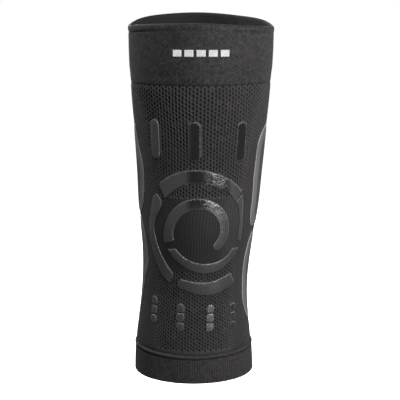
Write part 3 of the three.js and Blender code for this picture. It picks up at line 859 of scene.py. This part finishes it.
def knit_tree():
    """Sets a cell on each point, joins the cells, and draws their eyelets to size."""
    inputs = [(title, "Object") for title in ("Plain cell", "Open cell", "Half cell")]
    inputs += [("Eyelet size", "Float"), ("Weld distance", "Float"), ("Cloth", "Material")]
    tree, nodes, given = geometry_tree("Knit lattice", inputs)
    choices = nodes.add("GeometryNodeGeometryToInstance")
    # The cell that is linked last is number 0
    for title in ("Half cell", "Open cell", "Plain cell"):
        tree.links.new(read_object(nodes, given[title]), choices.inputs[0])

    def attribute(title, kind="FLOAT_VECTOR"):
        node = nodes.add("GeometryNodeInputNamedAttribute", {"data_type": kind})
        node.inputs["Name"].default_value = title
        return node.outputs["Attribute"]

    scattered = nodes.add(
        "GeometryNodeInstanceOnPoints",
        Points=given["Places"],
        Instance=choices.outputs[0],
        Pick_Instance=True,
        Instance_Index=attribute("cell_kind", "INT"),
    )
    joined = nodes.add("GeometryNodeRealizeInstances", Geometry=scattered.outputs[0])
    position = nodes.add("GeometryNodeInputPosition").outputs[0]
    from_middle = nodes.vector_math("SUBTRACT", position, attribute("cell_place"))
    size = nodes.vector_math("SCALE", attribute("eyelet"), scale=given["Eyelet size"])
    lip = nodes.vector_math("MULTIPLY", attribute("eyelet_way"), size)
    flat = nodes.vector_math("MULTIPLY", from_middle, (1, 1, 0))
    draw = nodes.vector_math("SUBTRACT", lip, flat)
    offset = nodes.vector_math("SCALE", draw, scale=attribute("pull", "FLOAT"))
    drawn = nodes.add("GeometryNodeSetPosition", Geometry=joined.outputs[0], Offset=offset)
    welded_cells = nodes.add("GeometryNodeMergeByDistance", Geometry=drawn.outputs[0])
    nodes.put(welded_cells.inputs["Distance"], given["Weld distance"])
    close_tree(nodes, welded_cells.outputs[0], given["Cloth"])
    return tree


def run_tree(tree, places, values):
    """Runs a Geometry Nodes tree on a mesh of points and returns the result as a plain mesh."""
    carrier = add_object("places", places)
    modifier = carrier.modifiers.new("Nodes", "NODES")
    modifier.node_group = tree
    for item in tree.interface.items_tree:
        if item.item_type == "SOCKET" and item.in_out == "INPUT" and item.name in values:
            modifier[item.identifier] = values[item.name]
    graph = bpy.context.evaluated_depsgraph_get()
    mesh = bpy.data.meshes.new_from_object(carrier.evaluated_get(graph))
    carrier.modifiers.remove(modifier)
    bpy.data.objects.remove(carrier)
    return mesh


def row_height(share, row):
    """The height of a place in the knit, counted in rows from the lower seam."""
    part = row / ROWS
    part = part + ROW_STRETCH * part * (part - 1)
    low = lower_seam(share)
    return low + part * (upper_seam(share) - low)


def mesh_half_width(height):
    """How far the eyelets reach to each side of the front line."""
    upper = smooth_step(35 * MM, 110 * MM, height)
    lower = smooth_step(-50 * MM, -10 * MM, height)
    head = smooth_step(88 * MM, 122 * MM, height)
    return (37 + 7 * lower + 10 * upper + 16 * head) * MM


def in_kneecap_patch(round_length, height):
    """Which places lie in the ribbed patch over the kneecap."""
    inside = np.hypot(round_length, height) < KNEECAP_PATCH_RADIUS
    return inside & (height < KNEECAP_PATCH_TOP) & (height > KNEECAP_PATCH_FOOT)


def kneecap_middle(round_length, height):
    """How deep a place lies inside the kneecap patch, from 0 at its edge to 1."""
    blend = 8 * MM
    inside = smooth_step(KNEECAP_PATCH_RADIUS, KNEECAP_PATCH_RADIUS - blend, np.hypot(round_length, height))
    below_top = smooth_step(KNEECAP_PATCH_TOP, KNEECAP_PATCH_TOP - blend, height)
    return inside * below_top * smooth_step(KNEECAP_PATCH_FOOT, KNEECAP_PATCH_FOOT + blend, height)


def beside_kneecap(round_length, height):
    """Which places lie to the sides of that patch, where the knit has no eyelets."""
    far = np.abs(round_length) > KNEECAP_PATCH_RADIUS - 3 * MM
    return far & (height < KNEECAP_PATCH_TOP) & (height > KNEECAP_PATCH_FOOT)


def under_print(places):
    """Which flat places a front print covers."""
    covered = np.zeros(len(places), bool)
    margin = 0.4 * MM
    for name in FRONT_PRINTS:
        outline = outlines[name]
        low = outline.points.min(0) - margin
        high = outline.points.max(0) + margin
        near = ((places > low) & (places < high)).all(1)
        if near.any():
            covered[near] |= outline.holds(places[near])
    return covered


def eyelet_sizes(round_length, height):
    """Half widths in columns and half heights in rows: tall slots above the kneecap, round holes below."""
    slot = smooth_step(-40 * MM, 25 * MM, height)
    reach = 1 - np.abs(round_length) / mesh_half_width(height)
    fading = 0.6 + 0.4 * smooth_step(0, 0.3, reach)
    chance = np.random.default_rng(11)
    uneven = np.clip(chance.normal(1, 0.12, len(height)), 0.75, 1.15)
    nearly_shut = chance.random(len(height)) < 0.06
    uneven = np.where(nearly_shut, 0.4, uneven)
    wide = (0.35 - 0.04 * slot) * fading * uneven
    tall = (0.30 + 0.15 * slot) * fading * uneven
    return wide, np.minimum(tall, 0.45)


def knit_places(first, last):
    """A point for each cell between two columns, with its kind and its eyelet."""
    cells = []
    for column in range(first, last):
        if column % 2:
            cells.append((column, 0.25, HALF))
            cells += [(column, row, CLOSED) for row in range(1, ROWS)]
            cells.append((column, ROWS - 0.25, HALF))
        else:
            cells += [(column, row + 0.5, CLOSED) for row in range(ROWS)]
    columns, rows, kinds = (np.array(c, float) for c in zip(*cells))
    share = columns / COLUMNS
    height = row_height(share, rows)
    round_length = share * knit_face.girth(height)
    reach = 1 - np.abs(round_length) / mesh_half_width(height)
    closed = in_kneecap_patch(round_length, height) | beside_kneecap(round_length, height)
    closed |= under_print(np.stack([round_length, height], -1))
    beside_cuffs = (rows < 1.2) | (rows > ROWS - 0.4)
    closed |= beside_cuffs
    kinds[(kinds == CLOSED) & (reach > 0) & ~closed] = OPEN
    wide, tall = eyelet_sizes(round_length, height)
    mesh = bpy.data.meshes.new("knit_places")
    places = np.stack([columns, rows, np.zeros(len(rows))], -1)
    mesh.from_pydata(places.tolist(), [], [])
    add_values(mesh, "cell_kind", kinds, "INT")
    add_values(mesh, "eyelet", np.stack([wide, tall, np.zeros(len(wide))], -1), "FLOAT_VECTOR")
    add_values(mesh, "cell_place", places, "FLOAT_VECTOR")
    return mesh


def close_borders(mesh):
    """Walls between the outer and the inner face, along the open borders of flat cloth."""
    cloth = bmesh.new()
    cloth.from_mesh(mesh)
    inner = {(round(v.co.x, 3), round(v.co.y, 3)): v for v in cloth.verts if v.co.z < -0.5}
    for edge in [e for e in cloth.edges if e.is_boundary and e.verts[0].co.z > -0.5]:
        loop = edge.link_loops[0]
        a, b = loop.vert, loop.link_loop_next.vert
        under_a = inner[(round(a.co.x, 3), round(a.co.y, 3))]
        under_b = inner[(round(b.co.x, 3), round(b.co.y, 3))]
        wall = cloth.faces.new((b, a, under_a, under_b))
        wall.smooth = True
        for side in wall.edges:
            side.smooth = False
    cloth.to_mesh(mesh)
    cloth.free()


def wander(columns, rows):
    """How far the stitches stray from their lattice, in columns."""
    slow = np.sin(0.31 * columns + 0.13 * rows + 0.4) * np.sin(0.17 * rows - 0.09 * columns)
    quick = np.sin(1.9 * columns + 0.7 * rows) * np.sin(1.3 * rows - 0.6 * columns + 1.1)
    return 0.2 * slow + 0.05 * quick


def crumple(columns, rows):
    """Soft unevenness of stretched cloth, as a height."""
    slow = np.sin(0.23 * columns + 0.11 * rows + 2.0) * np.sin(0.19 * rows - 0.05 * columns)
    return 0.10 * MM * slow


def dress_leg(mesh):
    """Pulls flat knit over the leg, with its relief."""
    columns, rows, layers = read_points(mesh)
    parts = np.round(read_values(mesh, "part")).astype(int)
    from_front = np.abs((columns + COLUMNS / 2) % COLUMNS - COLUMNS / 2)
    add_cloth_map(mesh, from_front, rows)
    share = columns / COLUMNS
    height = row_height(share, rows)
    round_length = (((share + 0.5) % 1) - 0.5) * knit_face.girth(height)
    reach = 1 - np.abs(round_length) / mesh_half_width(height)
    patch = in_kneecap_patch(round_length, height).astype(float)
    beside = beside_kneecap(round_length, height).astype(float) * (1 - patch)
    net = smooth_step(-0.1, 0.1, reach) * (1 - patch) * (1 - beside)
    twill = (1 - net) * (1 - patch)
    ridge = np.cos(math.tau * (columns - 0.5))
    end = np.maximum(smooth_step(0.9, 0, rows), smooth_step(0.9, 0, ROWS - rows))
    # How far each part of a cell stands out from the leg's plain face
    offsets = {
        BORDER: net * (0.06 + 0.14 * ridge) * MM - patch * 0.18 * ridge * MM - twill * 0.05 * MM,
        SHOULDER: net * (0.02 + 0.1 * ridge) * MM,
        LIP: EYELET_LIP,
        FLOOR: EYELET_FLOOR,
        INNER_BORDER: 0.6 * MM * end - KNIT_WALL,
        CROWN: (net * 0.1 + patch * 0.18 + twill * 0.2) * MM,
    }
    outwards = np.select([parts == part for part in offsets], list(offsets.values()))
    outwards = outwards + crumple(columns, rows) - 0.7 * MM * end * (layers > -0.5)
    # Stitches stray less beside the cuffs
    settled = np.clip(np.minimum(rows, ROWS - rows) / 3, 0, 1)
    sway = -0.1 * net * np.cos(math.tau * rows) * np.cos(math.pi * (columns - 0.5))
    wave = 0.3 * kneecap_middle(round_length, height) * np.sin(0.5 * rows + 0.35 * columns)
    share = share + (wander(columns, rows) + sway + wave) * settled / COLUMNS
    # Painted shade over the kneecap patch: deeper on its left and much lighter on its right, as the light
    # falls
    patch_side_shade = 0.88 + 0.10 * smooth_step(-17 * MM, -28 * MM, round_length)
    patch_side_shade = patch_side_shade - 0.5 * smooth_step(17 * MM, 30 * MM, round_length)
    # Painted shade on each part, from 0 to 1: in the eyelets, whose floors are painted fully dark as the
    # shade inside the holes, in the hollows between ridges, ribs and pebbles, over the kneecap patch, and on
    # the inner face
    part_shades = {
        BORDER: net * (0.3 - 0.3 * ridge) + patch * np.clip(patch_side_shade + 0.4 * ridge, 0, 0.97) + twill * 0.35,
        SHOULDER: net * 0.35,
        LIP: net * 0.85,
        FLOOR: 1.0,
        INNER_BORDER: 0.4,
        CROWN: patch * np.clip(patch_side_shade - 0.4, 0, 0.9) + twill * 0.2,
    }
    shade = np.select([parts == part for part in part_shades], list(part_shades.values()))
    # Painted shade along the knit's ends, where they tuck under the cuffs
    seam_shade = 0.55 * smooth_step(0.9, 0, ROWS - rows) + 0.35 * smooth_step(0.9, 0, rows)
    add_values(mesh, "shade", np.maximum(shade, seam_shade))
    add_values(mesh, "slant", twill)
    for name in ("pull", "eyelet_way", "eyelet", "cell_place", "part"):
        if name in mesh.attributes:
            mesh.attributes.remove(mesh.attributes[name])
    move_points(mesh, knit_face.place(share, height, outwards))


def knit_piece(name, tree, cells, first, last, material):
    values = {
        "Plain cell": cells[CLOSED],
        "Open cell": cells[OPEN],
        "Half cell": cells[HALF],
        "Eyelet size": 1.0,
        "Weld distance": WELD_DISTANCE,
        "Cloth": material,
    }
    mesh = run_tree(tree, knit_places(first, last), values)
    mesh.name = name
    mesh.shade_smooth()
    close_borders(mesh)
    dress_leg(mesh)
    return add_object(name, mesh)


def make_sleeve():
    half_corners = [(0.5, 0.25), (0, 0.25), (-0.5, 0.25), (-0.5, -0.25), (0, -0.25), (0.5, -0.25)]
    cells = {
        CLOSED: plain_cell("plain_cell", CELL_CORNERS),
        OPEN: open_cell(),
        HALF: plain_cell("half_cell", half_corners),
    }
    tree = knit_tree()
    front = knit_piece("knit_front", tree, cells, -FRONT_COLUMNS, FRONT_COLUMNS, STRETCHED_KNIT)
    back = knit_piece("knit_back", tree, cells, FRONT_COLUMNS, COLUMNS - FRONT_COLUMNS, STRETCHED_KNIT)
    for cell in cells.values():
        bpy.data.objects.remove(cell)
    return front, back


# Cuffs
COURSE = 1.9 * MM  # height of a row of stitches in the cuffs
COURSE_STEPS = 3  # rows of points in each
OUTSIDE, INSIDE = 1, -1
INSIDE_RELIEF = -1.6  # the inside's ribs stand inwards, and higher
# How much of the painted shade between ribs and beads the inside gets
INSIDE_SHADE_SHARE = 0.5
YARN_UNEVENNESS = 0.16
YARN_ROWS = 256  # rows of uneven shades, begun again after the last
UPPER_WALES = 198  # columns of stitches round each cuff
LOWER_WALES = 156
UPPER_INSIDE_ROWS = 46
LOWER_INSIDE_ROWS = 24
FRONT_LINE, BACK_LINE = 0.0, 0.5  # as shares of the way round


def cuff_piece(name, face, rows, wales, steps, relief, material):
    """A closed band of doubled knit. Each row is a level, an offset from the cuff's plain outer face, a
    side and a depth of painted shade, up the outside and down the inside. The relief is the height of
    its ribs, the height of the beads on them, and how much higher each rib's beads sit than the last
    one's. The steps are the points across each rib."""
    ribs, beads, drop = relief
    count = wales * steps
    columns = np.arange(count) / steps
    wale = np.floor(columns + 0.5).astype(int)
    yarn = np.random.default_rng(5).normal(0, YARN_UNEVENNESS, (wales + 1, YARN_ROWS))
    share = columns / wales
    rib = 0.5 + 0.5 * np.cos(math.tau * columns)
    rings = []
    all_rows = []
    shades = []
    for level, offset, side, shade in rows:
        height = level(share)
        stitch_rows = height / COURSE
        bead = np.cos(math.tau * (stitch_rows + drop * wale))
        swell = (ribs * (2 * rib - 1) + beads * rib * bead) * (1 if side == OUTSIDE else INSIDE_RELIEF)
        offset = offset(share) if callable(offset) else offset
        rings.append(face.place(share, height, offset + swell + crumple(columns, stitch_rows)))
        all_rows.append(stitch_rows)
        shade = shade(share) if callable(shade) else np.full(count, float(shade))
        # Painted shade between the ribs and between the beads, and a random tone for each stitch of yarn
        groove_shade_and_yarn_tone = (1 - rib) * 0.85 + rib * (0.5 - 0.5 * bead) * beads / (ribs + beads) * 1.25
        groove_shade_and_yarn_tone = groove_shade_and_yarn_tone + yarn[wale, np.floor(stitch_rows).astype(int) % YARN_ROWS]
        shades.append(np.clip(shade + groove_shade_and_yarn_tone * (1 if side == OUTSIDE else INSIDE_SHADE_SHARE), 0, 1))
    piece = new_piece(name, np.concatenate(rings), bands(count, len(rows), closed=True), material)
    add_cloth_map(piece.data, np.tile(columns + 0.5, len(rows)), np.concatenate(all_rows))
    add_values(piece.data, "shade", np.concatenate(shades))
    mend_cloth_seam(piece.data, wales)
    return piece


def mend_cloth_seam(mesh, wales):
    """Carries the stitch map on across the line where the columns start again."""
    layer = mesh.uv_layers["stitches"]
    places = np.zeros(len(mesh.loops) * 2, np.float32)
    layer.uv.foreach_get("vector", places)
    places = places.reshape(-1, 4, 2)
    wraps = np.ptp(places[:, :, 0], axis=1) > wales / 2
    low = places[:, :, 0] < wales / 2
    places[:, :, 0] += np.where(wraps[:, None] & low, wales, 0)
    layer.uv.foreach_set("vector", places.ravel())


def at(level, distance):
    """A level that runs at a distance above another."""
    return lambda share: level(share) + distance


def as_much_as(amount, value):
    """A value that changes round the leg with an amount."""
    return lambda share: value * amount(share)


def profile(level, steps):
    """Rows of a cuff's outside. Each step is a rise from the level, a way out, both in mm, and a painted
    shade.
    """
    return [(at(level, rise * MM), out * MM, OUTSIDE, shade) for rise, out, shade in steps]


def spread(low, high, count):
    """Levels evenly spaced from one level to another, without the last."""
    return [lambda share, t=k / count: low(share) + t * (high(share) - low(share)) for k in range(count)]


def steps_between(low, high, share):
    """How many rows of points the courses between two levels take, by their heights at one place."""
    return round(abs(float(high(share) - low(share))) / COURSE * COURSE_STEPS)


def hem_pinch(share):
    """How sharply the stitching pinches the hem, and how dark the painted shade in its crease is: most on the
    left and at the back.
    """
    side = (share + 0.5) % 1 - 0.5
    return 0.15 + 0.85 * np.maximum(smooth_step(-0.09, -0.17, side), smooth_step(0.3, 0.42, side))


def painted_inner_shade(share):
    """Painted shade on the inside: deeper at the back and on its left, where the light falls less."""
    way_round = share % 1
    return 0.95 * smooth_step(0.22, 0.60, way_round) * smooth_step(1.0, 0.8, way_round)


def painted_rim_shade(share):
    """Painted shade on the rim's top edge: deep, but light on its right, where the light falls."""
    way_round = share % 1
    return 1 - 0.85 * smooth_step(0.08, 0.16, way_round) * smooth_step(0.48, 0.38, way_round)


def make_upper_cuff():
    inside = -CUFF_WALL
    foot = at(upper_seam, 0.2 * MM)
    # Painted shade under the tuck where the cuff meets the knit
    tuck = [(-0.45, -0.8, 0.5), (0.1, -0.76, 0.25), (1.1, -0.7, 0.1), (2.2, -0.63, 0), (3.6, -0.55, 0)]
    rows = profile(foot, tuck)
    low, high = at(foot, 5 * MM), at(upper_rim, -7.4 * MM)
    levels = spread(low, high, steps_between(low, high, FRONT_LINE))
    # The cuff is drawn in a little towards its seam
    for k, level in enumerate(levels):
        rows.append((level, -0.5 * MM * float(smooth_step(0.24, 0, k / len(levels))), OUTSIDE, 0))
    # The third values are painted shade in the hem's crease
    pinch = [(-7.1, -0.04, 0.1), (-6.7, -0.3, 0.5), (-6.2, -0.62, 0.95), (-5.7, -0.35, 0.6), (-5.2, 0.0, 0.1)]
    for rise, out, shade in pinch:
        offset = as_much_as(hem_pinch, out * MM)
        rows.append((at(upper_rim, rise * MM), offset, OUTSIDE, as_much_as(hem_pinch, shade)))
    hem = [
        (-4.6, 0.18, 0),
        (-4.0, 0.26, 0),
        (-3.3, 0.30, 0),
        (-2.6, 0.28, 0),
        (-1.9, 0.20, 0),
        (-1.3, 0.05, 0.15),
        (-0.8, -0.15, 0.5),
        (-0.35, -0.45, painted_rim_shade),
        (-0.08, -0.85, painted_rim_shade),
        (0, -1.2, painted_rim_shade),
        (-0.15, -1.65, painted_rim_shade),
        (-0.7, -2.0, painted_rim_shade),
    ]
    rows += profile(upper_rim, hem)
    low = at(foot, 0.5 * MM)
    levels = spread(at(upper_rim, -1.6 * MM), low, UPPER_INSIDE_ROWS)
    rows += [(level, inside, INSIDE, painted_inner_shade) for level in levels]
    # Painted shade along the inside's foot
    rows += [(low, inside, INSIDE, 0.5), (at(foot, -0.8 * MM), inside + 0.3 * MM, INSIDE, 0.8)]
    relief = (0.07 * MM, 0.12 * MM, 0.34)
    return cuff_piece("upper_cuff_knit", upper_face, rows, UPPER_WALES, 3, relief, CUFF_KNIT)


def make_lower_cuff():
    inside = -CUFF_WALL
    head = at(lower_seam, -0.2 * MM)
    # Painted shade where the foot turns under
    rim = [
        (0.6, -1.9, 0.9),
        (0.1, -1.5, 0.9),
        (0, -1.0, 0.8),
        (0.15, -0.5, 0.5),
        (0.55, -0.15, 0.2),
        (1.2, 0, 0),
    ]
    rows = profile(lower_rim, rim)
    low, high = at(lower_rim, 1.7 * MM), at(lower_seam, -5.2 * MM)
    levels = spread(low, high, steps_between(low, high, BACK_LINE))
    rows += [(level, 0, OUTSIDE, 0) for level in levels]
    # Painted shade in the groove under the welt's roll, and along the seam
    welt = [
        (-5.0, 0.0, 0.1),
        (-4.5, -0.2, 0.4),
        (-4.05, -0.65, 0.85),
        (-3.65, -0.9, 1.0),
        (-3.3, -0.7, 0.9),
        (-2.95, -0.15, 0.3),
        (-2.5, 0.3, 0),
        (-1.9, 0.55, 0),
        (-1.3, 0.5, 0),
        (-0.7, 0.2, 0),
        (-0.3, -0.2, 0.1),
        (0.3, -0.72, 0.4),
        (0, -1.0, 0.8),
    ]
    rows += profile(lower_seam, welt)
    # Painted shade on the inside
    rows.append((at(head, -0.1 * MM), inside, INSIDE, 0.6))
    levels = spread(at(head, -1 * MM), at(lower_rim, 1.4 * MM), LOWER_INSIDE_ROWS)
    rows += [(level, inside, INSIDE, 0.3) for level in levels]
    rows.append((at(lower_rim, 1.4 * MM), inside, INSIDE, 0.6))
    relief = (0.14 * MM, 0.01 * MM, 0.0)
    return cuff_piece("lower_cuff_knit", lower_face, rows, LOWER_WALES, 4, relief, RIB_KNIT)


# Printed strips
PRINT_GRAIN = 1.25 * MM  # spacing of the points inside a strip
GLINT_WAY = (0.45, 0.89)  # edges that face up and a little to the right get painted glints
WIDEST_MARGIN = 14  # how far from its edge a print is told apart, in mm


def gloss_vs_painted_sheen(round_length, height):
    """Where the ink is glossy and dark: above the kneecap, right of the front line, but for the
    right arc, and on the last broken bar below it. Elsewhere it is rougher, and a painted sheen
    makes it lighter grey."""
    above = smooth_step(-13 * MM, -6 * MM, round_length) * smooth_step(14 * MM, 26 * MM, height)
    arc = smooth_step(24 * MM, 30 * MM, round_length) * smooth_step(50 * MM, 44 * MM, height)
    below = smooth_step(28 * MM, 34 * MM, round_length) * smooth_step(-60 * MM, -70 * MM, height)
    return np.maximum(above * (1 - arc), 0.6 * below)


def grain_points(outline, rim):
    """Points in staggered rows inside a strip, clear of its rounded edge."""
    low = rim.min(0)
    high = rim.max(0)
    across = np.arange(low[0], high[0], PRINT_GRAIN)
    up = np.arange(low[1], high[1], PRINT_GRAIN * math.sqrt(3) / 2)
    grid = np.array([(x + PRINT_GRAIN / 2 * (j % 2), y) for j, y in enumerate(up) for x in across])
    grid = grid[outline.holds(grid)]
    return grid[outline.gap(grid) > PRINT_EDGE + 0.45 * PRINT_GRAIN]


def flat_strip(outline, top):
    """A strip with a rounded edge, laid out flat: its places, their heights off the knit, its faces."""
    steps = [
        (0.0, PRINT_FOOT),
        (0.0, top - PRINT_EDGE),
        (0.12 * PRINT_EDGE, top - 0.45 * PRINT_EDGE),
        (0.45 * PRINT_EDGE, top - 0.12 * PRINT_EDGE),
    ]
    count = len(outline.points)
    rim = outline.inset(PRINT_EDGE)
    flat = [Vector(p) for p in np.concatenate([rim, grain_points(outline, rim)]).tolist()]
    borders = [(k, (k + 1) % count) for k in range(count)]
    laid, _, triangles, sources, _, _ = geometry.delaunay_2d_cdt(flat, borders, [], 1, 1e-7)
    laid = np.array([tuple(p) for p in laid])
    order = {source[0]: k for k, source in enumerate(sources) if source}
    upper = count * len(steps)
    lower = upper + len(laid)
    places = np.concatenate([outline.inset(inset) for inset, _ in steps] + [laid, laid])
    edge_heights = np.repeat([height for _, height in steps], count)
    heights = np.concatenate([edge_heights, np.full(len(laid), top), np.full(len(laid), PRINT_FOOT)])
    faces = bands(count, len(steps))
    faces += between(range(upper - count, upper), [upper + order[k] for k in range(count)])
    faces += [tuple(upper + i for i in triangle) for triangle in triangles]
    faces += [tuple(lower + i for i in reversed(triangle)) for triangle in triangles]
    faces += between([lower + order[k] for k in range(count)], range(count))
    return places, heights, faces


def printed_piece(name, top, material, painted_glint):
    """A strip of silicone wrapped over the knit, whose ribs show through it a little."""
    outline = outlines[name]
    places, heights, faces = flat_strip(outline, top)
    share = places[:, 0] / knit_face.girth(places[:, 1])
    from_edge = np.minimum(outline.gap(places) / MM, WIDEST_MARGIN)
    raised = heights > PRINT_FOOT
    inner = smooth_step(0.3, 1.2, from_edge) * raised
    ribs = 0.05 * MM * np.cos(math.tau * share * COLUMNS * 2) * inner
    dome = 0.08 * MM * smooth_step(0.3, 3, from_edge) * raised
    points = knit_face.place(share, places[:, 1], heights + ribs + dome)
    piece = new_piece(name + "_print", points, faces, material)
    add_values(piece.data, "from_edge", from_edge)
    # Front strips only: the glossy dark places, and elsewhere a painted sheen
    add_values(piece.data, "gloss", painted_glint * gloss_vs_painted_sheen(places[:, 0], places[:, 1]))
    # Painted glints on the edges that face up and a little to the right
    add_values(piece.data, "painted_glint", painted_glint * outline.faces_way(places, GLINT_WAY))
    return piece


# The plain mark on the upper cuff: a row of knitted white dashes
MARK_HEIGHT = 152 * MM
MARK_DASHES = 5
MARK_LOOPS_WIDE = 6
MARK_LOOPS_HIGH = 5
MARK_GAP_LOOPS = 2
LOOP_PITCH = 1.1 * MM
LOOP_WIDTH_SHARE = 1.15  # how much wider than high a loop's place is
MARK_LIFT = 0.12 * MM


def loop_object():
    """One V-shaped loop of yarn, a unit wide: two leaning, rounded legs."""
    shape = bmesh.new()
    # Places along a leg from its middle, and its radius there
    rings = [(-0.62, 0.09), (-0.5, 0.2), (-0.15, 0.25), (0.2, 0.25), (0.5, 0.2), (0.62, 0.09)]
    sides = 6
    for side in (-1, 1):
        ends = []
        for along, radius in rings:
            centre = Vector((side * (0.27 + 0.22 * along), along * 0.95, 0))
            ring = []
            for k in range(sides):
                turn = math.tau * k / sides
                round_it = Vector((radius * math.cos(turn), 0, radius * math.sin(turn)))
                ring.append(shape.verts.new(centre + round_it))
            ends.append(ring)
        for a, b in zip(ends, ends[1:]):
            for corners in between(a, b):
                shape.faces.new(corners)
        shape.faces.new(reversed(ends[0]))
        shape.faces.new(ends[-1])
    bmesh.ops.recalc_face_normals(shape, faces=shape.faces)
    mesh = bpy.data.meshes.new("yarn_loop")
    shape.to_mesh(mesh)
    return bpy.data.objects.new("yarn_loop", mesh)


def loops_tree():
    """Sets a yarn loop on each point."""
    inputs = [("Loop", "Object"), ("Loop size", "Float"), ("Yarn", "Material")]
    tree, nodes, given = geometry_tree("Yarn loops", inputs)
    size = nodes.add("ShaderNodeCombineXYZ", X=given["Loop size"], Y=given["Loop size"], Z=given["Loop size"])
    scattered = nodes.add(
        "GeometryNodeInstanceOnPoints",
        Points=given["Places"],
        Instance=read_object(nodes, given["Loop"]),
        Scale=size.outputs[0],
    )
    joined = nodes.add("GeometryNodeRealizeInstances", Geometry=scattered.outputs[0])
    close_tree(nodes, joined.outputs[0], given["Yarn"])
    return tree


def make_mark():
    wide = MARK_DASHES * MARK_LOOPS_WIDE + (MARK_DASHES - 1) * MARK_GAP_LOOPS
    places = []
    for dash in range(MARK_DASHES):
        start = dash * (MARK_LOOPS_WIDE + MARK_GAP_LOOPS) - wide / 2 + 0.5
        for i in range(MARK_LOOPS_WIDE):
            for j in range(MARK_LOOPS_HIGH):
                across = (start + i) * LOOP_PITCH * LOOP_WIDTH_SHARE
                up = (j - (MARK_LOOPS_HIGH - 1) / 2) * LOOP_PITCH
                places.append((across, MARK_HEIGHT + up, 0))
    points = bpy.data.meshes.new("mark_places")
    points.from_pydata(places, [], [])
    loop = loop_object()
    values = {"Loop": loop, "Loop size": LOOP_PITCH, "Yarn": WHITE_KNIT}
    mesh = run_tree(loops_tree(), points, values)
    bpy.data.objects.remove(loop)
    mesh.name = "cuff_mark"
    across, up, out = read_points(mesh)
    move_points(mesh, upper_face.place(across / upper_face.girth(up), up, out + MARK_LIFT))
    mesh.shade_smooth()
    return add_object("cuff_mark", mesh)


# Dress the model
def settle(piece, slot, *nodes):
    """Fixes a piece to the body and hides the nodes that it stands for. The slot that it is given is not
    used.
    """
    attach(piece, "root")
    if nodes:
        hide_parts(*nodes)


for knit in make_sleeve():
    settle(knit, "mesh_knit", "sleeve_body")
settle(make_upper_cuff(), "cuff_knit", "upper_cuff")
settle(make_lower_cuff(), "cuff_knit", "lower_cuff")
for strip in FRONT_PRINTS:
    settle(printed_piece(strip, PRINT_TOP, FRONT_SILICONE, 1), "front_print", strip)
for leaf in LEAVES:
    settle(printed_piece(leaf, LEAF_TOP, SIDE_SILICONE, 0), "side_print", leaf)
settle(make_mark(), "cuff_knit")


# Studio: a pale floor, soft lights, and the camera a little above the knee
FLOOR_DROP = 120 * MM
CAMERA_DISTANCE = 1000 * MM
CAMERA_RISE = math.radians(10)
CAMERA_TARGET = Vector((0, 0, 17.5 * MM))
CAMERA_LENS = 99.4
SENSOR_WIDTH = 36
STUDIO_WHITE = (0.92, 0.92, 0.92, 1)
STUDIO_GRAIN = (0.90, 0.90, 0.90, 1)
FLOOR_REACH = 6.0
AIR_LIGHT = 0.07  # how brightly the air lights the sleeve, as a share of how it looks to the camera
KNEE = (0, 0, 30 * MM)

# Each light's name, its place, what it faces, its two sides and its power in watts
LIGHTS = [
    ("key", (0.68, -0.93, 0.3), KNEE, (0.2, 0.9), 14),
    ("right_side", (1.15, 0.15, 0.6), (0, 0, 0.14), (0.5, 0.7), 5),
    ("right_rim", (0.95, 0.6, 0.1), KNEE, (0.4, 1.0), 1.1),
    ("left_front", (-0.95, -0.7, 0.05), KNEE, (0.6, 1.0), 0.8),
    ("front_top", (0.3, -0.75, 0.9), KNEE, (0.6, 0.6), 8),
    ("inside", (-0.6, 0.15, 0.9), (0.03, 0.03, 0.17), (0.3, 0.3), 9),
    ("left_back", (-1.1, 0.45, 0.15), KNEE, (0.4, 1.0), 1.1),
    ("back", (-0.2, 1.3, 0.4), (0, 0, 0), (0.8, 0.8), 14),
]


def make_floor():
    level = cad_box[0].z - FLOOR_DROP
    ways = [(-1, -1), (1, -1), (1, 1), (-1, 1)]
    corners = [(x * FLOOR_REACH, y * FLOOR_REACH, level) for x, y in ways]
    material, nodes, shader = new_material("studio_paper")
    grain = nodes.noise(nodes.object_place(), 60.0)
    nodes.put(shader.inputs["Base Color"], nodes.mix(grain, STUDIO_WHITE, STUDIO_GRAIN))
    shader.inputs["Roughness"].default_value = 0.9
    shader.inputs["Emission Color"].default_value = (1, 1, 1, 1)
    shader.inputs["Emission Strength"].default_value = 1.0
    floor = new_piece("studio_floor", corners, [(0, 1, 2, 3)], material)
    floor.visible_diffuse = False
    floor.visible_glossy = False


def make_light(name, place, target, size, power):
    lamp = bpy.data.lights.new(name, "AREA")
    lamp.shape = "RECTANGLE"
    lamp.size, lamp.size_y = size
    lamp.energy = power
    light = add_object(name, lamp)
    light.location = place
    light.rotation_euler = (Vector(target) - Vector(place)).to_track_quat("-Z", "Y").to_euler()


def make_world():
    world = bpy.data.worlds.new("studio_air")
    world.use_nodes = True
    nodes = Nodes(world.node_tree)
    background = world.node_tree.nodes["Background"]
    seen = nodes.add("ShaderNodeLightPath").outputs["Is Camera Ray"]
    nodes.put(background.inputs["Strength"], nodes.math("MULTIPLY_ADD", seen, 1 - AIR_LIGHT, AIR_LIGHT))
    background.inputs["Color"].default_value = (1, 1, 1, 1)
    bpy.context.scene.world = world


def make_camera():
    lens = bpy.data.cameras.new("camera")
    lens.lens = CAMERA_LENS
    lens.sensor_width = SENSOR_WIDTH
    camera = add_object("camera", lens)
    back = Vector((0, -math.cos(CAMERA_RISE), math.sin(CAMERA_RISE)))
    camera.location = CAMERA_TARGET + CAMERA_DISTANCE * back
    camera.rotation_euler = (-back).to_track_quat("-Z", "Y").to_euler()
    bpy.context.scene.camera = camera


make_floor()
make_world()
make_camera()
for light in LIGHTS:
    make_light(*light)
bpy.context.scene.view_settings.view_transform = "Standard"
